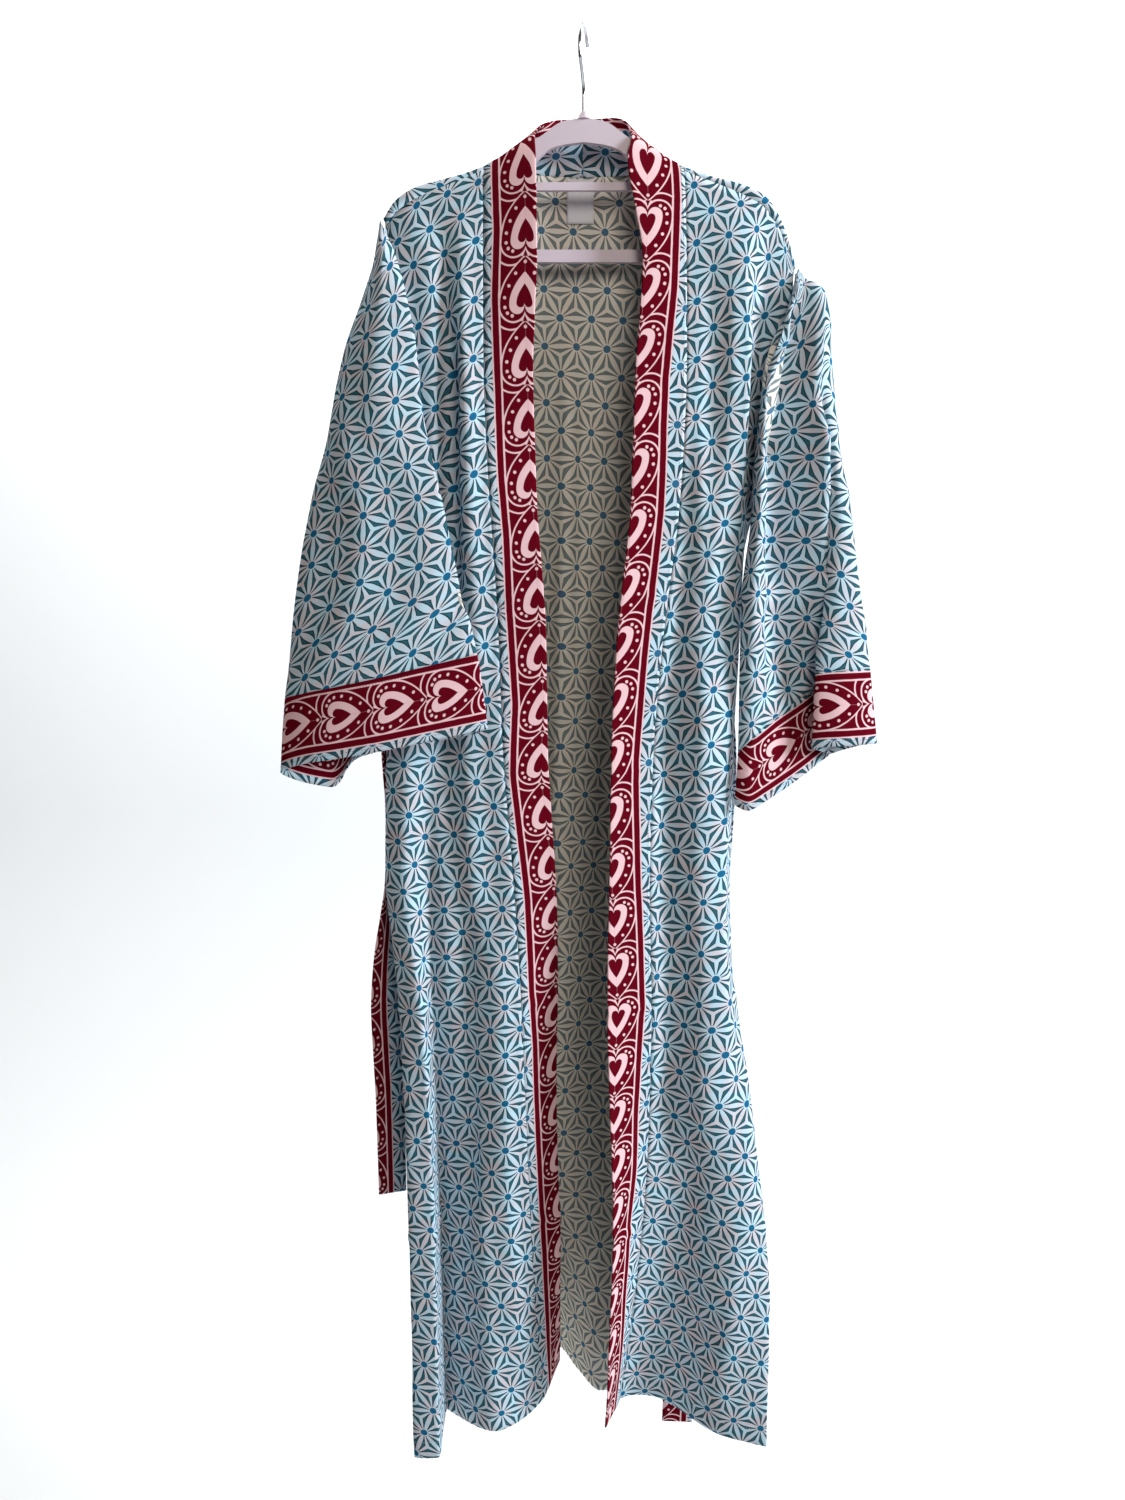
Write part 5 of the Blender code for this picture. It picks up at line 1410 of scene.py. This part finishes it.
def make_hanger_moulding(colours):
    line = bpy.data.curves.new("hanger_moulding", "CURVE")
    line.dimensions = "2D"
    line.fill_mode = "BOTH"
    line.extrude = HANGER_THICKNESS / 2 * CM
    for half in (smooth_line(HANGER_EDGE, 8), smooth_line(UPPER_WINDOW, 5), smooth_line(LOWER_WINDOW, 5)):
        points = np.concatenate([half * (-1, 1), half[::-1][: -1 if half[0, 0] == 0 else None]])
        poly_line(line, [(x, -drop, 0) for x, drop in points], True)
    mesh = as_mesh(placed("hanger_line", line), "hanger_moulding")
    mesh.transform(Matrix.Rotation(math.pi / 2, 4, "X"))
    merged = bmesh.new()
    merged.from_mesh(mesh)
    bmesh.ops.remove_doubles(merged, verts=merged.verts, dist=1e-6)
    high, low = BOSS_DROPS
    place = Matrix.Translation((0, 0, -(high + low) / 2 * CM))
    wide, slim = (radius * CM for radius in BOSS_RADII)
    boss = {"cap_ends": True, "segments": 24, "radius1": wide, "radius2": slim, "depth": (low - high) * CM}
    bmesh.ops.create_cone(merged, matrix=place, **boss)
    merged.to_mesh(mesh)
    merged.free()
    mesh.shade_smooth()
    piece = placed("hanger_moulding", mesh)
    rounded = piece.modifiers.new("Rounded edges", "BEVEL")
    rounded.width = HANGER_ROUNDING * CM
    rounded.segments = 3
    rounded.limit_method = "ANGLE"
    rounded.angle_limit = math.radians(60)
    rounded.harden_normals = True
    board = Board("hanger_plastic", 0.36)
    at = board.own_place()
    board.mottled(at, 30.0, colours.moulding, 0.93)
    board.bump(board.cloud(at, 900.0), 0.05, 0.0002)
    mesh.materials.clear()
    mesh.materials.append(board.material)
    settle(piece, "hanger")


def make_hook_wire(colours):
    radius = HOOK_RADIUS + WIRE / 2
    turn = np.radians(np.linspace(*HOOK_TURNS, 40))
    bend = np.stack([radius * np.cos(turn), HOOK_RADIUS - radius * np.sin(turn)], axis=1)
    stem = smooth_line((*HOOK_LINE, tuple(bend[0])), 6)
    points = np.concatenate([stem[:-1], bend])
    line = bpy.data.curves.new("hook_line", "CURVE")
    line.dimensions = "3D"
    line.bevel_depth = WIRE / 2 * CM
    line.bevel_resolution = 5
    line.use_fill_caps = True
    aside, ahead = math.sin(HOOK_TURN), math.cos(HOOK_TURN)
    poly_line(line, [(out * aside, out * ahead, -drop) for out, drop in points], False)
    mesh = as_mesh(placed("hook_line", line), "hook_wire")
    mesh.shade_smooth()
    mesh.set_sharp_from_angle(angle=math.radians(50))
    piece = placed("hook_wire", mesh)
    board = Board("bright_wire", 0.22, 1.0)
    at = board.own_place()
    board.mottled(at, 60.0, colours.wire, 0.85)
    board.set("Roughness", board.cloud(at, 90.0) * 0.15 + 0.15)
    mesh.materials.clear()
    mesh.materials.append(board.material)
    settle(piece, "hook")


def make_stage():
    mesh = bpy.data.meshes.new("studio_floor")
    made = bmesh.new()
    bend_at = BACKDROP - BEND
    profile = [(FLOOR_NEAR, FLOOR_LEVEL), (bend_at, FLOOR_LEVEL)]
    for angle in np.radians(np.linspace(0, 90, 9)[1:]):
        profile.append((bend_at + BEND * math.sin(angle), FLOOR_LEVEL + BEND * (1 - math.cos(angle))))
    profile.append((BACKDROP, BACKDROP_TOP))
    rows = [[made.verts.new((x, y, z)) for x in (-FLOOR_HALF, FLOOR_HALF)] for y, z in profile]
    for low, high in zip(rows[:-1], rows[1:]):
        made.faces.new((low[0], low[1], high[1], high[0]))
    made.to_mesh(mesh)
    made.free()
    mesh.shade_smooth()
    floor = placed("studio_floor", mesh)
    board = Board("studio_white", 0.9)
    board.set("Base Color", (0.86, 0.86, 0.86))
    mesh.materials.append(board.material)
    for name, place, aim, size, power, tint in LIGHTS:
        lamp = bpy.data.lights.new(name, "AREA")
        lamp.shape = "RECTANGLE"
        lamp.size, lamp.size_y = size
        lamp.energy = power
        lamp.color = tint
        made = placed(name, lamp)
        made.location = place
        made.rotation_euler = (Vector(aim) - Vector(place)).to_track_quat("-Z", "Y").to_euler()
    world = bpy.data.worlds.new("studio")
    world.use_nodes = True
    light = world.node_tree.nodes["Background"].inputs
    light["Color"].default_value = (*WORLD_TINT, 1)
    light["Strength"].default_value = WORLD_LIGHT
    bpy.context.scene.world = world
    lens = bpy.data.cameras.new("camera")
    lens.sensor_fit = "VERTICAL"
    lens.sensor_height = SENSOR
    lens.lens = LENS
    camera = placed("camera", lens)
    camera.location = CAMERA_PLACE
    camera.rotation_euler = (math.radians(90 - CAMERA_DOWN), 0, 0)
    bpy.context.scene.camera = camera
    bpy.context.scene.view_settings.view_transform = "Standard"


def colour(name, words, default):
    return FloatVectorProperty(name=name, description=words, subtype="COLOR", size=3, min=0, max=1, default=default)


class KimonoRobeSettings(bpy.types.PropertyGroup):
    """Sizes and colours of the print, the label and the hanger"""

    lattice_side: FloatProperty(
        name="Lattice side", description="From one flower's centre to the next", default=0.03, unit="LENGTH"
    )
    ground: colour("Ground", "The print's pale ground", (0.55, 0.735, 0.84))
    ground_warm: colour("Warm ground", "The warmer patches of the ground", (0.67, 0.62, 0.66))
    teal: colour("Teal", "The leaves of the print", (0.015, 0.09, 0.125))
    teal_pale: colour("Pale teal", "Worn leaves of the print", (0.03, 0.14, 0.18))
    teal_dark: colour("Dark teal", "The leaves' outlines", (0.007, 0.03, 0.037))
    dot_blue: colour("Flower centre", "The dots at the flowers' centres", (0.003, 0.12, 0.24))
    reverse: colour("Reverse", "What dulls the cloth's reverse", (0.95, 0.86, 0.72))
    crimson: colour("Crimson", "The border's red", (0.16, 0.0005, 0.01))
    crimson_dark: colour("Dark crimson", "The border's darker red", (0.105, 0.0004, 0.006))
    cream: colour("Cream", "The border's cream", (0.92, 0.58, 0.6))
    label: colour("Label", "The neck label", (0.95, 0.95, 1.0))
    thread_red: colour("Red thread", "The stitches on the border", (0.16, 0.002, 0.01))
    thread_pale: colour("Pale thread", "The stitches of the hems", (0.62, 0.66, 0.64))
    moulding: colour("Hanger", "The hanger's plastic", (0.68, 0.55, 0.62))
    wire: colour("Hook", "The hook's wire", (0.72, 0.72, 0.75))


class KIMONO_ROBE_OT_fronts(bpy.types.Operator):
    """Makes the two fronts, from the shoulder to the hem"""

    bl_idname = "kimono_robe.fronts"
    bl_label = "Fronts"

    def execute(self, context):
        make_fronts(context.scene.kimono_robe)
        return {"FINISHED"}


class KIMONO_ROBE_OT_loops(bpy.types.Operator):
    """Makes the two belt loops"""

    bl_idname = "kimono_robe.loops"
    bl_label = "Belt loops"

    def execute(self, context):
        make_loops_cloth(context.scene.kimono_robe)
        return {"FINISHED"}


class KIMONO_ROBE_OT_back(bpy.types.Operator):
    """Makes the back, in one width"""

    bl_idname = "kimono_robe.back"
    bl_label = "Back"

    def execute(self, context):
        make_back_cloth(context.scene.kimono_robe)
        return {"FINISHED"}


class KIMONO_ROBE_OT_bands(bpy.types.Operator):
    """Makes the folded neck and front bands"""

    bl_idname = "kimono_robe.bands"
    bl_label = "Bands"

    def execute(self, context):
        make_bands_cloth(context.scene.kimono_robe)
        return {"FINISHED"}


class KIMONO_ROBE_OT_sleeves(bpy.types.Operator):
    """Makes the two sleeves and their cuffs"""

    bl_idname = "kimono_robe.sleeves"
    bl_label = "Sleeves"

    def execute(self, context):
        make_sleeves_cloth(context.scene.kimono_robe)
        return {"FINISHED"}


class KIMONO_ROBE_OT_belt(bpy.types.Operator):
    """Makes the belt, through its two loops"""

    bl_idname = "kimono_robe.belt"
    bl_label = "Belt"

    def execute(self, context):
        make_belt_cloth(context.scene.kimono_robe)
        return {"FINISHED"}


class KIMONO_ROBE_OT_label(bpy.types.Operator):
    """Makes the plain label at the back neck"""

    bl_idname = "kimono_robe.label"
    bl_label = "Label"

    def execute(self, context):
        make_label_cloth(context.scene.kimono_robe)
        return {"FINISHED"}


class KIMONO_ROBE_OT_stitching(bpy.types.Operator):
    """Sews the bands, cuffs, belt and hems"""

    bl_idname = "kimono_robe.stitching"
    bl_label = "Stitching"

    def execute(self, context):
        make_stitching(context.scene.kimono_robe)
        return {"FINISHED"}


class KIMONO_ROBE_OT_hanger(bpy.types.Operator):
    """Makes the hanger's moulding"""

    bl_idname = "kimono_robe.hanger"
    bl_label = "Hanger"

    def execute(self, context):
        make_hanger_moulding(context.scene.kimono_robe)
        return {"FINISHED"}


class KIMONO_ROBE_OT_hook(bpy.types.Operator):
    """Makes the hanger's wire hook"""

    bl_idname = "kimono_robe.hook"
    bl_label = "Hook"

    def execute(self, context):
        make_hook_wire(context.scene.kimono_robe)
        return {"FINISHED"}


class KIMONO_ROBE_OT_stage(bpy.types.Operator):
    """Makes the floor, the lights and the camera"""

    bl_idname = "kimono_robe.stage"
    bl_label = "Stage"

    def execute(self, context):
        make_stage()
        return {"FINISHED"}


PIECES = (
    KIMONO_ROBE_OT_fronts,
    KIMONO_ROBE_OT_loops,
    KIMONO_ROBE_OT_back,
    KIMONO_ROBE_OT_bands,
    KIMONO_ROBE_OT_sleeves,
    KIMONO_ROBE_OT_belt,
    KIMONO_ROBE_OT_label,
    KIMONO_ROBE_OT_stitching,
    KIMONO_ROBE_OT_hanger,
    KIMONO_ROBE_OT_hook,
    KIMONO_ROBE_OT_stage,
)


class KIMONO_ROBE_PT_sidebar(bpy.types.Panel):
    """Lists the robe's sizes and colours and its pieces"""

    bl_idname = "KIMONO_ROBE_PT_sidebar"
    bl_label = "Kimono robe"
    bl_space_type = "VIEW_3D"
    bl_region_type = "UI"
    bl_category = "Kimono robe"

    def draw(self, context):
        for name in KimonoRobeSettings.__annotations__:
            self.layout.prop(context.scene.kimono_robe, name)
        for piece in PIECES:
            self.layout.operator(piece.bl_idname)


CLASSES = (KimonoRobeSettings, *PIECES, KIMONO_ROBE_PT_sidebar)


def register():
    for made in CLASSES:
        bpy.utils.register_class(made)
    bpy.types.Scene.kimono_robe = PointerProperty(type=KimonoRobeSettings)


def unregister():
    del bpy.types.Scene.kimono_robe
    for made in reversed(CLASSES):
        bpy.utils.unregister_class(made)


def main():
    register()
    for piece in PIECES:
        getattr(bpy.ops.kimono_robe, piece.bl_idname.split(".")[1])()


if __name__ == "__main__":
    main()
